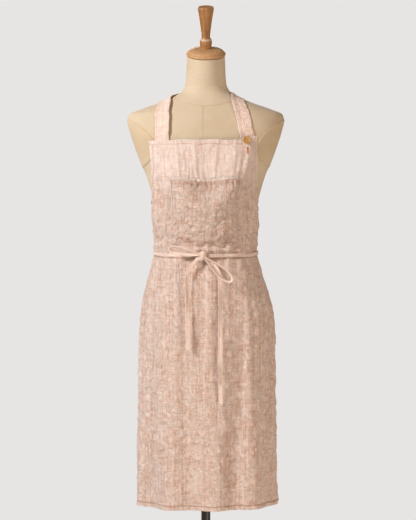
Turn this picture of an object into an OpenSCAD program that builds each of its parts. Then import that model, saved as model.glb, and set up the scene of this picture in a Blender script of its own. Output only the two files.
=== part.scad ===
// Linen bib apron worn by a dress form on a height-adjustable pole and a round iron base.
// Millimetres, +Z up. The front faces -Y, left is -X, and the origin is on the floor on the
// axis of the pole. Heights in the section tables are counted from the waist line.

/* [Dress form] */
// Height of the waist line above the floor
waist_z = 1050; // [1040:5:1080]
// Thickness of the moulded paper shell
shell_t = 6; // [5:0.5:7]
// Thickness of the stretched jersey cover
cover_t = 1.2; // [1:0.1:1.4]
// How far each breast stands out
bust_rise = 26; // [20:1:26]
// Forward lean of the neck top, its cap and the finial
neck_tilt = 17; // [12:1:18]

/* [Apron] */
// Thickness of the linen panel
cloth_t = 2.4; // [2:0.1:2.4]
// Top edge of the bib above the waist
bib_top = 271; // [262:1:272]
// Hem of the skirt below the waist
hem_drop = 598; // [560:1:620]
// Width of the bib pocket
pocket_w = 170; // [140:2:176]
// Width of the neck strap
strap_w = 34; // [28:1:36]
// Width of the waist tie
tie_w = 10; // [8:1:12]

/* [Stand] */
// Diameter of the base plate
base_d = 340; // [340:5:400]
// Outside diameter of the pole
pole_d = 22; // [20:1:22]
// Outside diameter of the lower tube
tube_d = 28; // [28:1:30]
// Height of the lower tube's mouth
tube_top = 352; // [320:1:352]

/* [Hidden] */
$fn = 48;
JERSEY = [0.88, 0.79, 0.66];
LINEN = [0.87, 0.75, 0.68];
WALNUT = [0.55, 0.38, 0.24];
BLACK = [0.08, 0.07, 0.07];
STEEL = [0.7, 0.7, 0.72];

run_gap = 0.05;      // radial running clearance of a shaft in its bore
skin_gap = 0.2;      // air between two layers of the form
seg = 40;            // facets round the torso
pole_r = pole_d / 2;
pole_wall = 1.5;
tube_r = tube_d / 2;
tube_in = tube_r - 1.5;
pole_low = 130;      // underside of the pole's foot plug
pole_high = waist_z + 450;
clamp_z = tube_top - 18;
base_low = 3;
base_high = 11;

// Torso sections: height, half width, front depth, back depth, centre in y, roundness
BODY = [
    [-262, 150, 108, 114, 0, 2.2], [-200, 155, 112, 120, 0, 2.2], [-142, 152, 112, 117, 0, 2.2],
    [-100, 145, 109, 108, 0, 2.2], [-70, 137, 105, 98, 0, 2.2], [-40, 128, 100, 87, 0, 2.2],
    [0, 117, 94, 75, 0, 2.15], [60, 117.5, 97, 80, 0, 2.15], [118, 122.5, 102, 90, 2, 2.2],
    [165, 134, 106, 96, 4, 2.2], [190, 142, 104, 98, 5, 2.2], [218, 154, 101, 100, 6, 2.3],
    [262, 170, 93, 98, 8, 2.4], [290, 179, 85, 93, 10, 2.5], [322, 186, 76, 84, 12, 2.5],
    [334, 183, 71, 79, 13, 2.5], [348, 152, 65, 73, 14, 2.4], [362, 112, 58, 66, 14, 2.3],
    [376, 77, 52, 59, 13, 2.2], [390, 56, 47, 52, 11, 2.1], [408, 48, 45, 47, 8, 2],
    [435, 45.5, 45, 45, 3, 2], [474, 44, 44, 44, -4, 2]];
neck_top = BODY[len(BODY) - 1];
// Inside of the apron, as the torso's sections, with the angle of its side edges added last
APRON = [
    [-620, 167, 123, 92, 0, 2.2, 134], [-450, 165, 122, 100, 0, 2.2, 133],
    [-350, 163, 121, 112, 0, 2.2, 132], [-260, 162, 120, 124, 0, 2.2, 132],
    [-200, 161, 120, 127, 0, 2.2, 133], [-142, 157, 119, 123, 0, 2.2, 138],
    [-70, 142, 112, 106, 0, 2.2, 148], [-40, 132, 105, 92, 0, 2.2, 156],
    [-14, 124, 99.5, 84, 0, 2.2, 161], [2, 121.5, 98, 80, 0, 2.2, 163],
    [25, 122, 101, 85, 0, 2.2, 158], [70, 124, 112, 90, 0, 2.2, 125],
    [127, 131, 128, 98, 0, 2.3, 86], [165, 143, 133, 106, 0, 2.4, 67],
    [190, 150, 127, 108, 0, 2.4, 60], [230, 164, 110, 110, 0, 2.4, 51],
    [272, 180, 92, 112, 0, 2.4, 44]];

// Slope between rows i and i + 1, and the damped slope at row i that never overshoots
function rise(tab, i, k) = (tab[i + 1][k] - tab[i][k]) / (tab[i + 1][0] - tab[i][0]);
function damped(a, b) = a * b <= 0 ? 0 : 2 * a * b / (a + b);
function slope(tab, i, k) = i == 0 ? rise(tab, 0, k)
    : i == len(tab) - 1 ? rise(tab, i - 1, k) : damped(rise(tab, i - 1, k), rise(tab, i, k));
function row(tab, h, i = 0) = i >= len(tab) - 2 || h <= tab[i + 1][0] ? i : row(tab, h, i + 1);
// Column k of a table at height h, on a smooth curve through its rows
function at(tab, h, k) = let (i = row(tab, h), d = tab[i + 1][0] - tab[i][0],
    s = min(1, max(0, (h - tab[i][0]) / d)), m0 = slope(tab, i, k) * d, m1 = slope(tab, i + 1, k) * d)
    tab[i][k] * (1 + 2 * s) * pow(1 - s, 2) + m0 * s * pow(1 - s, 2)
    + tab[i + 1][k] * s * s * (3 - 2 * s) + m1 * s * s * (s - 1);
function smooth(s) = let (c = min(1, max(0, s))) c * c * (3 - 2 * c);
function lobe(v, n) = sign(v) * pow(abs(v), 2 / n);
function bell(v, spread) = exp(-pow(v / spread, 2));
function bust(h, x) = bust_rise * bell(h - 160, 52) * (bell(x - 68, 42) + bell(x + 68, 42));
// Point of a section outline at angle t from the front, pushed out by off
function outline(tab, h, t, off) = let (n = at(tab, h, 5), s = sin(t), c = cos(t))
    [(at(tab, h, 1) + off) * lobe(s, n),
     c >= 0 ? -(at(tab, h, 2) + off) * lobe(c, n) : (at(tab, h, 3) + off) * lobe(-c, n)];
function body_pt(h, t, off = 0) = let (p = outline(BODY, h, t, off),
    y = p[1] - max(0, cos(t)) * bust(h, p[0]), lean = neck_tilt * smooth((h - 370) / 104))
    [p[0], at(BODY, h, 4) + y, waist_z + h + y * tan(lean)];
function apron_pt(h, t, off = 0) = let (p = outline(APRON, h, t, off)) [p[0], p[1], waist_z + h];
function unit(v) = v / norm(v);

// Closed solid between two matching grids of points: rows of columns, outside then inside
module slab(outer, inner, wrap = false) {
    rows = len(outer);
    cols = len(outer[0]);
    skin = rows * cols;
    last = wrap ? cols - 1 : cols - 2;
    pts = concat([for (r = outer) each r], [for (r = inner) each r]);
    function id(r, c) = r * cols + c % cols;
    // Two triangles from the outer edge between points a and b to the inner one
    function wall(a, b) = [[a, b, skin + b], [a, skin + b, skin + a]];
    grid = [for (r = [0 : rows - 2], c = [0 : last]) each [
        [id(r, c), id(r + 1, c), id(r + 1, c + 1)], [id(r, c), id(r + 1, c + 1), id(r, c + 1)],
        [skin + id(r, c), skin + id(r + 1, c + 1), skin + id(r + 1, c)],
        [skin + id(r, c), skin + id(r, c + 1), skin + id(r + 1, c + 1)]]];
    rims = [for (c = [0 : last]) each concat(wall(id(0, c), id(0, c + 1)),
        wall(id(rows - 1, c + 1), id(rows - 1, c)))];
    sides = wrap ? [] : [for (r = [0 : rows - 2]) each concat(wall(id(r + 1, 0), id(r, 0)),
        wall(id(r, cols - 1), id(r + 1, cols - 1)))];
    polyhedron(pts, concat(grid, rims, sides));
}

BODY_RINGS = [-262, -230, -200, -170, -142, -118, -100, -70, -40, -20, 0, 30, 60, 90, 118, 142,
    165, 190, 218, 240, 262, 290, 310, 322, 334, 341, 348, 355, 362, 369, 376, 383, 390, 399,
    408, 421, 435, 455, 474];
module torso_layer(low, high) {
    slab([for (h = BODY_RINGS) [for (i = [0 : seg - 1]) body_pt(h, 360 * i / seg, high)]],
        [for (h = BODY_RINGS) [for (i = [0 : seg - 1]) body_pt(h, 360 * i / seg, low)]], true);
}
// Frame that leans with the neck top
module on_neck() {
    translate([0, neck_top[4], waist_z + neck_top[0]]) rotate([neck_tilt, 0, 0]) children();
}
module tube(r_out, r_in, low, high) {
    translate([0, 0, low]) difference() {
        cylinder(r = r_out, h = high - low);
        translate([0, 0, -1]) cylinder(r = r_in, h = high - low + 2);
    }
}

module form_body() color("burlywood") torso_layer(-shell_t, 0);
module form_cover() color(JERSEY) torso_layer(skin_gap, skin_gap + cover_t);

arm_h = 265;         // middle of the armhole above the waist
arm_rise = 58;       // half its height
arm_sweep = 50;      // half its spread round the torso, in degrees
plate_t = 1.4;
plate_gap = 1.1;     // keeps the plate's facets off the cover's
// Oval plate over the armhole, on the side given by dir
module arm_plate(dir) {
    ring = [for (i = [0 : 35]) 10 * i];
    steps = 6;
    function spot(r, a, off) = body_pt(arm_h + arm_rise * r * sin(a),
        dir * (90 + arm_sweep * r * cos(a)), off);
    function layer(off) = [for (k = [1 : steps]) [for (a = ring) spot(k / steps, a * -dir, off)]];
    low = skin_gap + cover_t + plate_gap;
    outer = layer(low + plate_t);
    inner = layer(low);
    n = len(ring);
    m = n * steps;
    e = m - n;
    pts = concat([for (r = outer) each r], [for (r = inner) each r],
        [spot(0, 0, low + plate_t), spot(0, 0, low)]);
    grid = [for (r = [0 : steps - 2], c = [0 : n - 1]) let (d = (c + 1) % n) each [
        [r * n + c, (r + 1) * n + c, (r + 1) * n + d], [r * n + c, (r + 1) * n + d, r * n + d],
        [m + r * n + c, m + (r + 1) * n + d, m + (r + 1) * n + c],
        [m + r * n + c, m + r * n + d, m + (r + 1) * n + d]]];
    ends = [for (c = [0 : n - 1]) let (d = (c + 1) % n) each [[2 * m, c, d], [2 * m + 1, m + d, m + c],
        [e + c, m + e + c, m + e + d], [e + c, m + e + d, e + d]]];
    polyhedron(pts, concat(grid, ends));
}
module arm_plate_left() color(JERSEY) arm_plate(-1);
module arm_plate_right() color(JERSEY) arm_plate(1);

dowel_r = 5;
dowel_low = -20;
dowel_high = 62;
block_r = 32;        // wooden block that fills the top of the neck
block_h = 34;
boss_r = 20;         // its boss, which the pole's end runs up into
boss_low = 388;      // underside of the boss above the waist
boss_h = 64;
module neck_block() color("burlywood") difference() {
    union() {
        on_neck() translate([0, 0, -block_h]) cylinder(r = block_r, h = block_h);
        translate([0, 0, waist_z + boss_low]) cylinder(r = boss_r, h = boss_h);
    }
    translate([0, 0, waist_z + boss_low - 8])
        cylinder(r = pole_r + run_gap, h = pole_high + 0.1 - waist_z - boss_low + 8);
    on_neck() translate([0, 0, dowel_low]) cylinder(r = dowel_r, h = 2 * -dowel_low);
}

cap_r = 47.5;
cap_h = 18;
cap_edge = 4;        // radius of the cap's rounded rim
cap_flat = 13;       // radius of the flat top under the finial
dome_low = 9;        // where the domed top starts
cap_gap = 0.05;
module neck_cap() color(WALNUT) on_neck() rotate_extrude($fn = 96) polygon(concat(
    [[dowel_r, cap_gap]],
    [for (a = [0 : 30 : 180]) [cap_r - cap_edge * (1 - sin(a)), cap_gap + cap_edge * (1 - cos(a))]],
    [for (a = [11.25 : 11.25 : 90])
        [cap_flat + (cap_r - cap_edge - cap_flat) * cos(a), dome_low + (cap_h - dome_low) * sin(a)]],
    [[dowel_r, cap_h]]));

// Turned outline of the finial: height above the neck top and radius
FINIAL = [[18, 12.8], [24, 13.4], [29, 14.4], [34, 14.8], [39, 14], [42, 11.6], [44, 10.2], [50, 10.4],
    [66, 12.2], [84, 14.6], [100, 17], [111, 19], [115, 19.2]];
finial_h = FINIAL[len(FINIAL) - 1][0];
module cap_finial() color(WALNUT) on_neck() difference() {
    rotate_extrude($fn = 72) polygon(concat([[0, cap_h]],
        [for (i = [0 : 32]) let (h = cap_h + (finial_h - cap_h) * i / 32) [at(FINIAL, h, 1), h]],
        [[18.2, 117.5], [15, 118.6], [8, 119.4], [0, 119.6]]));
    translate([0, 0, cap_h - 1]) cylinder(r = dowel_r, h = dowel_high - cap_h + 1);
}
module finial_dowel() color("burlywood")
    on_neck() translate([0, 0, dowel_low]) cylinder(r = dowel_r, h = dowel_high - dowel_low);

board_low = -256;    // underside of the board below the waist
board_t = 16;
board_gap = 0.6;     // clearance inside the paper shell
flange_r = 40;
flange_t = 4;
hub_r = 17;
hub_drop = 34;       // how far the flange's hub hangs below the board
screw_ring = 30;
wood_screw_r = 2;
wood_screw_in = 13;  // how deep the screws go into the board
wood_head_r = 4;
wood_head_h = 2.4;
module screw_places(count, radius) {
    for (i = [0 : count - 1]) rotate(360 * i / count + 45) translate([radius, 0, 0]) children();
}
module base_board() color("burlywood") translate([0, 0, waist_z + board_low]) difference() {
    linear_extrude(board_t) polygon([for (i = [0 : seg - 1])
        outline(BODY, BODY[0][0], 360 * i / seg, -shell_t - board_gap)]);
    translate([0, 0, -1]) cylinder(r = pole_r + 1.5, h = board_t + 2);
    screw_places(4, screw_ring) cylinder(r = wood_screw_r, h = wood_screw_in);
}
module pole_flange() color(BLACK) translate([0, 0, waist_z + board_low]) difference() {
    union() {
        translate([0, 0, -flange_t]) cylinder(r = flange_r, h = flange_t);
        translate([0, 0, -hub_drop]) cylinder(r = hub_r, h = hub_drop - flange_t + 1);
    }
    translate([0, 0, -hub_drop - 1]) cylinder(r = pole_r + run_gap, h = hub_drop + 2);
    screw_places(4, screw_ring) translate([0, 0, -flange_t - 1])
        cylinder(r = wood_screw_r, h = flange_t + 2);
}
module flange_screws() color(STEEL) translate([0, 0, waist_z + board_low - flange_t])
    screw_places(4, screw_ring) union() {
        cylinder(r = wood_screw_r, h = flange_t + wood_screw_in);
        translate([0, 0, -wood_head_h]) cylinder(r = wood_head_r, h = wood_head_h);
    }

end_cap = 6;         // closed end of the top plug, above the pole's tube
foot_cap = 12;       // closed end of the foot plug, which runs in the lower tube
end_in = 20;         // how far the top plug reaches into the pole
foot_in = 18;        // how far the foot plug does
module upper_pole() color(BLACK) tube(pole_r, pole_r - pole_wall, pole_low + foot_cap, pole_high - end_cap);
module pole_end_plug() color(BLACK) translate([0, 0, pole_high - end_cap]) union() {
    translate([0, 0, -end_in]) cylinder(r = pole_r - pole_wall, h = end_in + 1);
    cylinder(r = pole_r, h = end_cap);
}
module pole_foot_plug() color("dimgray") translate([0, 0, pole_low]) union() {
    cylinder(r = tube_in - run_gap, h = foot_cap);
    translate([0, 0, foot_cap - 1]) cylinder(r = pole_r - pole_wall, h = foot_in + 1);
}

screw_r = 4;
screw_end = 46;      // outer end of the clamp screw from the pole's axis
tip_gap = 0.15;      // from the screw's tip to the pole
bush_h = 52;
bush_lip = 3;
collar_r = 20;
collar_h = 32;
arm_r = 9;           // the collar's arm, which holds the screw
arm_end = 30;
knob_at = 33;        // inner face of the knob from the pole's axis
knob_r = 20;
knob_t = 14;
knob_hub_r = 10;
knob_hub_t = 4;
// Bore or shank of the clamp screw, along +X
module screw_bore(r, from, to) {
    translate([from, 0, clamp_z]) rotate([0, 90, 0]) cylinder(r = r, h = to - from);
}
module lower_tube() color(BLACK) difference() {
    tube(tube_r, tube_in, base_high, tube_top);
    screw_bore(screw_r + 0.3, 0, arm_end);
}
module guide_bush() color("dimgray") difference() {
    union() {
        tube(tube_in, pole_r + run_gap, tube_top - bush_h, tube_top);
        tube(tube_r, pole_r + run_gap, tube_top, tube_top + bush_lip);
    }
    screw_bore(screw_r + 0.3, 0, arm_end);
}
module clamp_collar() color(BLACK) difference() {
    union() {
        translate([0, 0, clamp_z - collar_h / 2]) cylinder(r = collar_r, h = collar_h);
        screw_bore(arm_r, 0, arm_end);
    }
    translate([0, 0, clamp_z - collar_h / 2 - 1]) cylinder(r = tube_r, h = collar_h + 2);
    screw_bore(screw_r + run_gap, 0, arm_end + 1);
}
module clamp_screw() color(STEEL) screw_bore(screw_r, pole_r + tip_gap, screw_end);
module clamp_knob() color(BLACK) translate([knob_at, 0, clamp_z]) rotate([0, 90, 0]) difference() {
    union() {
        cylinder(r = knob_hub_r, h = knob_hub_t + 1);
        translate([0, 0, knob_hub_t]) cylinder(r = knob_r, h = knob_t);
    }
    for (i = [0 : 6]) rotate(360 * i / 7) translate([knob_r + 4, 0, 0]) cylinder(r = 8, h = knob_t + 6);
    translate([0, 0, -1]) cylinder(r = screw_r, h = screw_end - knob_at + 1);
}

socket_flange_r = 40;
socket_flange_t = 5;
socket_r = 20;
socket_h = 48;
socket_ring = 30;
bolt_r = 3;
bolt_head_r = 5.5;
bolt_head_h = 3;
plate_edge = 4;      // radius of the base plate's rounded upper edge
pad_inset = 8;
pad_w = 40;
module tube_socket() color(BLACK) difference() {
    translate([0, 0, base_high]) union() {
        cylinder(r = socket_flange_r, h = socket_flange_t);
        cylinder(r = socket_r, h = socket_h);
    }
    translate([0, 0, base_high - 1]) cylinder(r = tube_r, h = socket_h + 2);
    screw_places(4, socket_ring) translate([0, 0, base_high - 1])
        cylinder(r = bolt_r, h = socket_flange_t + 2);
}
module base_screws() color(STEEL) screw_places(4, socket_ring) union() {
    translate([0, 0, base_low]) cylinder(r = bolt_r, h = base_high + socket_flange_t - base_low);
    translate([0, 0, base_high + socket_flange_t]) cylinder(r = bolt_head_r, h = bolt_head_h);
}
module base_plate() color(BLACK) difference() {
    rotate_extrude($fn = 120) polygon(concat(
        [[0, base_low], [base_d / 2 - 1, base_low], [base_d / 2, base_low + 1]],
        [for (a = [0 : 18 : 90])
            [base_d / 2 - plate_edge * (1 - cos(a)), base_high - plate_edge * (1 - sin(a))]],
        [[0, base_high]]));
    screw_places(4, socket_ring) translate([0, 0, base_low - 1])
        cylinder(r = bolt_r, h = base_high - base_low + 2);
}
module base_pad() color("dimgray")
    tube(base_d / 2 - pad_inset, base_d / 2 - pad_inset - pad_w, 0, base_low);

APRON_ROWS = [-hem_drop, -520, -450, -400, -350, -300, -260, -230, -200, -170, -142, -105, -70, -40,
    -14, 2, 25, 48, 70, 98, 127, 146, 165, 190, 210, 230, 250, bib_top];
apron_cols = 44;
module apron_panel() {
    function layer(off) = [for (h = APRON_ROWS) [for (i = [0 : apron_cols])
        apron_pt(h, (2 * i / apron_cols - 1) * at(APRON, h, 6), off)]];
    color(LINEN) slab(layer(cloth_t), layer(0));
}
pocket_top = 188;
pocket_low = 28;
pocket_gap = 1.5;    // air between the panel and the pocket
pocket_t = 1.7;
module bib_pocket() {
    rows = [for (i = [0 : 8]) pocket_low + (pocket_top - pocket_low) * i / 8];
    function reach(h) = asin(pow(pocket_w / 2 / at(APRON, h, 1), at(APRON, h, 5) / 2));
    function layer(off) = [for (h = rows) [for (i = [-6 : 6]) apron_pt(h, reach(h) * i / 6, off)]];
    color(LINEN) slab(layer(cloth_t + pocket_gap + pocket_t), layer(cloth_t + pocket_gap));
}

// Flat band along places [point, outward normal]
module band(spots, width, thick) {
    n = len(spots);
    function dir(i) = unit(spots[min(i + 1, n - 1)][0] - spots[max(i - 1, 0)][0]);
    function edge(i, side, up) = let (across = unit(cross(dir(i), spots[i][1])))
        spots[i][0] + across * side * width / 2 + spots[i][1] * up * thick / 2;
    slab([for (i = [0 : n - 1]) [edge(i, -1, 1), edge(i, 0, 1), edge(i, 1, 1)]],
        [for (i = [0 : n - 1]) [edge(i, -1, -1), edge(i, 0, -1), edge(i, 1, -1)]]);
}
function body_normal(h, t) =
    unit(cross(body_pt(h, t + 1) - body_pt(h, t - 1), body_pt(h + 1, t) - body_pt(h - 1, t)));
function on_body(h, t, off) = let (n = body_normal(h, t)) [body_pt(h, t) + n * off, n];

strap_t = 2;
strap_off = 5.2;     // middle of the strap above the paper shell
// The strap's way over the torso: height above the waist and angle from the front
STRAP = [[262, -31.5], [276, -30.5], [288, -29.5], [300, -28.5], [312, -28], [325, -27.5],
    [334, -28.5], [341, -31.5], [347, -36], [353, -41.5], [359, -50], [364, -62], [368, -75],
    [371, -88], [374, -100], [377, -112], [380, -124], [383, -136], [386, -150], [388, -165],
    [389, -180], [388, -195], [386, -210], [384, -224], [382, -236], [380, -248], [378, -260],
    [377, -272], [376, -285], [374, -297], [370, -307], [366, -315], [360, -323], [354, -328],
    [347, -333], [341, -335.5], [334, -337.5], [325, -337], [312, -336], [300, -335],
    [286, -332.5], [272, -330.5], [258, -329]];
module neck_strap() color(LINEN)
    band([for (p = STRAP) on_body(p[0], p[1], strap_off)], strap_w, strap_t);

button_up = 269;     // middle of the button above the waist
button_turn = 28;    // and its angle from the front
button_r = 10;
button_t = 3.6;
button_gap = 1;      // from the linen to the button's back
eye_r = 1;
eye_at = 2.2;        // from the button's middle to each eye
shank_r = 1.6;
shank_in = 3.4;      // how far the thread goes into the linen and the strap
function apron_normal(h, t) =
    unit(cross(apron_pt(h, t + 1) - apron_pt(h, t - 1), apron_pt(h + 1, t) - apron_pt(h - 1, t)));
function on_apron(h, t, off) = let (n = apron_normal(h, t)) [apron_pt(h, t) + n * off, n];
// Frame whose z points out of the apron at the button
module on_button() {
    spot = on_apron(button_up, button_turn, cloth_t);
    translate(spot[0]) rotate([acos(spot[1][2]), 0, atan2(spot[1][1], spot[1][0]) + 90]) children();
}
module strap_button() color(WALNUT) on_button() difference() {
    translate([0, 0, button_gap]) cylinder(r = button_r, h = button_t);
    for (side = [-1, 1]) translate([eye_at * side, 0, 0])
        cylinder(r = eye_r, h = button_gap + button_t + 1);
}
module button_thread() color("peru") on_button()
    translate([0, 0, -shank_in]) cylinder(r = shank_r, h = shank_in + button_gap);

tie_t = 1.6;
tie_h = 2;           // middle of the waist tie above the waist
tie_gap = 1.3;       // air between the panel and the tie
tie_off = cloth_t + tie_gap + tie_t / 2;
tie_end = 198;       // angle from the front to each tape's far end, past the middle of the back
// The right tape lies over the left one behind, where they cross
function tie_lift(a) = 2.4 * smooth((abs(a) - 125) / 20);
module waist_tie(dir, from, lift) color(LINEN)
    band([for (i = [0 : 42]) let (a = from + (tie_end - from) * i / 42)
        on_apron(tie_h, dir * a, tie_off + lift * tie_lift(a))], tie_w, tie_t);
module waist_tie_left() waist_tie(-1, 10, 0);
module waist_tie_right() waist_tie(1, 1, 1);

knot = [-11, -110.5, waist_z + tie_h];
knot_r = 7.5;
loop_half_h = 10;
loop_t = 2;
module bow_knot() color(LINEN) translate(knot) sphere(r = knot_r);
function oval(a, b) = [for (i = [0 : 31]) [a * cos(11.25 * i), b * sin(11.25 * i)]];
// Loop of tape standing out from the bow: an oval ring, its long way turned by an angle
module bow_loop(middle, half_l, turn) color(LINEN) translate(middle) rotate([90, -turn, 0])
    linear_extrude(tie_w - 1, center = true) difference() {
        polygon(oval(half_l, loop_half_h));
        polygon(oval(half_l - loop_t, loop_half_h - loop_t));
    }
module bow_loop_left() bow_loop([-54, -112, waist_z + 8], 33, -6);
module bow_loop_right() bow_loop([29, -125, waist_z - 30], 38, -42);

// Middle lines of the two hanging ends of the tape
TAIL_LEFT = [[-22, -112, 1042], [-34, -115, 1028], [-43, -118, 1010], [-45, -121, 985], [-44, -124, 960],
    [-43, -127, 930], [-42, -128, 900], [-42, -128, 870], [-41, -128, 850], [-41, -128, 831]];
TAIL_RIGHT = [[0, -109, 1042], [14, -110, 1034], [26, -112, 1022], [32, -114, 1004], [34, -118, 980],
    [34, -123, 955], [34, -127, 925], [34, -129, 895], [34, -129, 865], [34, -129, 835],
    [33, -129, 805], [33, -129, 775], [34, -129, 745], [35, -129, 720], [35, -129, 703]];
tail_half_t = 1.5;   // half the thickness of a hanging end
// Flat soft cord of eight sides, wider than thick, swept along its route
module tail(route) {
    n = len(route);
    function dir(i) = unit(route[min(i + 1, n - 1)] - route[max(i - 1, 0)]);
    function ring(i) = let (across = unit(cross(dir(i), [0, -1, 0])), up = cross(across, dir(i)))
        [for (k = [0 : 7]) route[i] + across * cos(45 * k) * tie_w / 2 + up * sin(45 * k) * tail_half_t];
    pts = [for (i = [0 : n - 1]) each ring(i)];
    walls = [for (i = [0 : n - 2], k = [0 : 7]) let (a = i * 8 + k, b = i * 8 + (k + 1) % 8)
        each [[a, b, b + 8], [a, b + 8, a + 8]]];
    caps = [[for (k = [7 : -1 : 0]) k], [for (k = [0 : 7]) (n - 1) * 8 + k]];
    color(LINEN) polyhedron(pts, concat(walls, caps));
}
module tie_tail_left() tail(TAIL_LEFT);
module tie_tail_right() tail(TAIL_RIGHT);

form_body();
form_cover();
arm_plate_left();
arm_plate_right();
neck_block();
neck_cap();
cap_finial();
finial_dowel();
base_board();
pole_flange();
flange_screws();
upper_pole();
pole_end_plug();
pole_foot_plug();
lower_tube();
guide_bush();
clamp_collar();
clamp_screw();
clamp_knob();
tube_socket();
base_screws();
base_plate();
base_pad();
apron_panel();
bib_pocket();
neck_strap();
strap_button();
button_thread();
waist_tie_left();
waist_tie_right();
bow_knot();
bow_loop_left();
bow_loop_right();
tie_tail_left();
tie_tail_right();
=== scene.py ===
"""Looks for a linen bib apron on a dress form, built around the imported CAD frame. Metres, front at -Y.

Section tables and the strap's route repeat the CAD source's, in millimetres, with heights counted
from the waist line. Everything soft is worked out from them.
"""
import math

import bmesh
import bpy
import numpy as np
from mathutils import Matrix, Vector, noise
from mathutils.bvhtree import BVHTree


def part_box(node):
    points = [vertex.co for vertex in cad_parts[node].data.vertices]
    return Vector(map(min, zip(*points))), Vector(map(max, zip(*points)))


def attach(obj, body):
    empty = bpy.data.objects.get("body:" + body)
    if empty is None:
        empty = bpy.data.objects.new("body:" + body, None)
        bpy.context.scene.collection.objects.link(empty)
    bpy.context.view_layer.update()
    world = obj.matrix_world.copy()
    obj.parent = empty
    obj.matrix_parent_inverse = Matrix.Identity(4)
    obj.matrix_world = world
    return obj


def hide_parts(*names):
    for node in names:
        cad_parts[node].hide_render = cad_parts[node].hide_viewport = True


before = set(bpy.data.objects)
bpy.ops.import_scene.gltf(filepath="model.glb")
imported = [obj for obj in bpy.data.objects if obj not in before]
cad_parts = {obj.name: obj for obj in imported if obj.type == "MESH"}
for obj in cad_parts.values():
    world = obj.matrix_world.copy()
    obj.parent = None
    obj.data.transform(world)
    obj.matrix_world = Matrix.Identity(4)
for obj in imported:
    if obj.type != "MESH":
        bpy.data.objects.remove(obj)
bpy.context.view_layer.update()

MM = 0.001
UP, BACK = np.array([0, 0, 1.0]), np.array([0, 1.0, 0])
NECK_TILT = math.radians(17)
SIM_FRAMES = 36

# Millimetres. Heights are above the waist line.
BUST_RISE = 26
FORM_LOW, FORM_TOP = -262, 474
SKIN = 1.4          # outside of the cover above the paper shell
FRONT_SEAM = 7.0    # how far the front seam lies left of the middle
ARM_H, ARM_RISE = 265, 58           # middle and half height of an armhole
ARM_SWEEP = 50                      # its half width, in degrees round the form
CLOTH = 2.4         # thickness of the CAD apron panel
BIB_TOP = 271
HEM_DROP = 598
STRAP_WIDTH = 34
TAPE_H = 2          # middle of the waist tape
POCKET_LOW, POCKET_TOP = 28, 187

# Metres
WAIST = 1.050
HEM = 0.010
THREAD_PITCH = 0.0011
STITCH_PITCH, STITCH_LENGTH, STITCH_RADIUS = 0.0034, 0.0023, 0.00024
POCKET_HALF, POCKET_RUN = 0.089, 0.160
TAPE_WIDTH = 0.010  # cut width of the waist tape, the bow and its ends
TAPE_THICK = 0.0013
KNOT = np.array([-0.009, -0.1105, 1.0515])
BUTTON_HOLE = 0.0022                # from the button's middle to each hole
CAMERA_AWAY, VIEW_HEIGHT = 4.2, 1.248

# Height, half width, front depth, back depth, centre in y, roundness
BODY = np.array([
    [-262, 150, 108, 114, 0, 2.2], [-200, 155, 112, 120, 0, 2.2], [-142, 152, 112, 117, 0, 2.2],
    [-100, 145, 109, 108, 0, 2.2], [-70, 137, 105, 98, 0, 2.2], [-40, 128, 100, 87, 0, 2.2],
    [0, 117, 94, 75, 0, 2.15], [60, 117.5, 97, 80, 0, 2.15], [118, 122.5, 102, 90, 2, 2.2],
    [165, 134, 106, 96, 4, 2.2], [190, 142, 104, 98, 5, 2.2], [218, 154, 101, 100, 6, 2.3],
    [262, 170, 93, 98, 8, 2.4], [290, 179, 85, 93, 10, 2.5], [322, 186, 76, 84, 12, 2.5],
    [334, 183, 71, 79, 13, 2.5], [348, 152, 65, 73, 14, 2.4], [362, 112, 58, 66, 14, 2.3],
    [376, 77, 52, 59, 13, 2.2], [390, 56, 47, 52, 11, 2.1], [408, 48, 45, 47, 8, 2],
    [435, 45.5, 45, 45, 3, 2], [474, 44, 44, 44, -4, 2]])
# The same for the inside of the apron, with the angle of its side edges last
APRON = np.array([
    [-620, 167, 123, 92, 0, 2.2, 134], [-450, 165, 122, 100, 0, 2.2, 133],
    [-350, 163, 121, 112, 0, 2.2, 132], [-260, 162, 120, 124, 0, 2.2, 132],
    [-200, 161, 120, 127, 0, 2.2, 133], [-142, 157, 119, 123, 0, 2.2, 138],
    [-70, 142, 112, 106, 0, 2.2, 148], [-40, 132, 105, 92, 0, 2.2, 156],
    [-14, 124, 99.5, 84, 0, 2.2, 161], [2, 121.5, 98, 80, 0, 2.2, 163],
    [25, 122, 101, 85, 0, 2.2, 158], [70, 124, 112, 90, 0, 2.2, 125],
    [127, 131, 128, 98, 0, 2.3, 86], [165, 143, 133, 106, 0, 2.4, 67],
    [190, 150, 127, 108, 0, 2.4, 60], [230, 164, 110, 110, 0, 2.4, 51],
    [272, 180, 92, 112, 0, 2.4, 44]])
# The strap's way over the torso: height above the waist and angle from the front
STRAP = np.array([
    [262, -31.5], [276, -30.5], [288, -29.5], [300, -28.5], [312, -28], [325, -27.5], [334, -28.5],
    [341, -31.5], [347, -36], [353, -41.5], [359, -50], [364, -62], [368, -75], [371, -88], [374, -100],
    [377, -112], [380, -124], [383, -136], [386, -150], [388, -165], [389, -180], [388, -195],
    [386, -210], [384, -224], [382, -236], [380, -248], [378, -260], [377, -272], [376, -285],
    [374, -297], [370, -307], [366, -315], [360, -323], [354, -328], [347, -333], [341, -335.5],
    [334, -337.5], [325, -337], [312, -336], [300, -335], [286, -332.5], [272, -330.5], [258, -329]])

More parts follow.
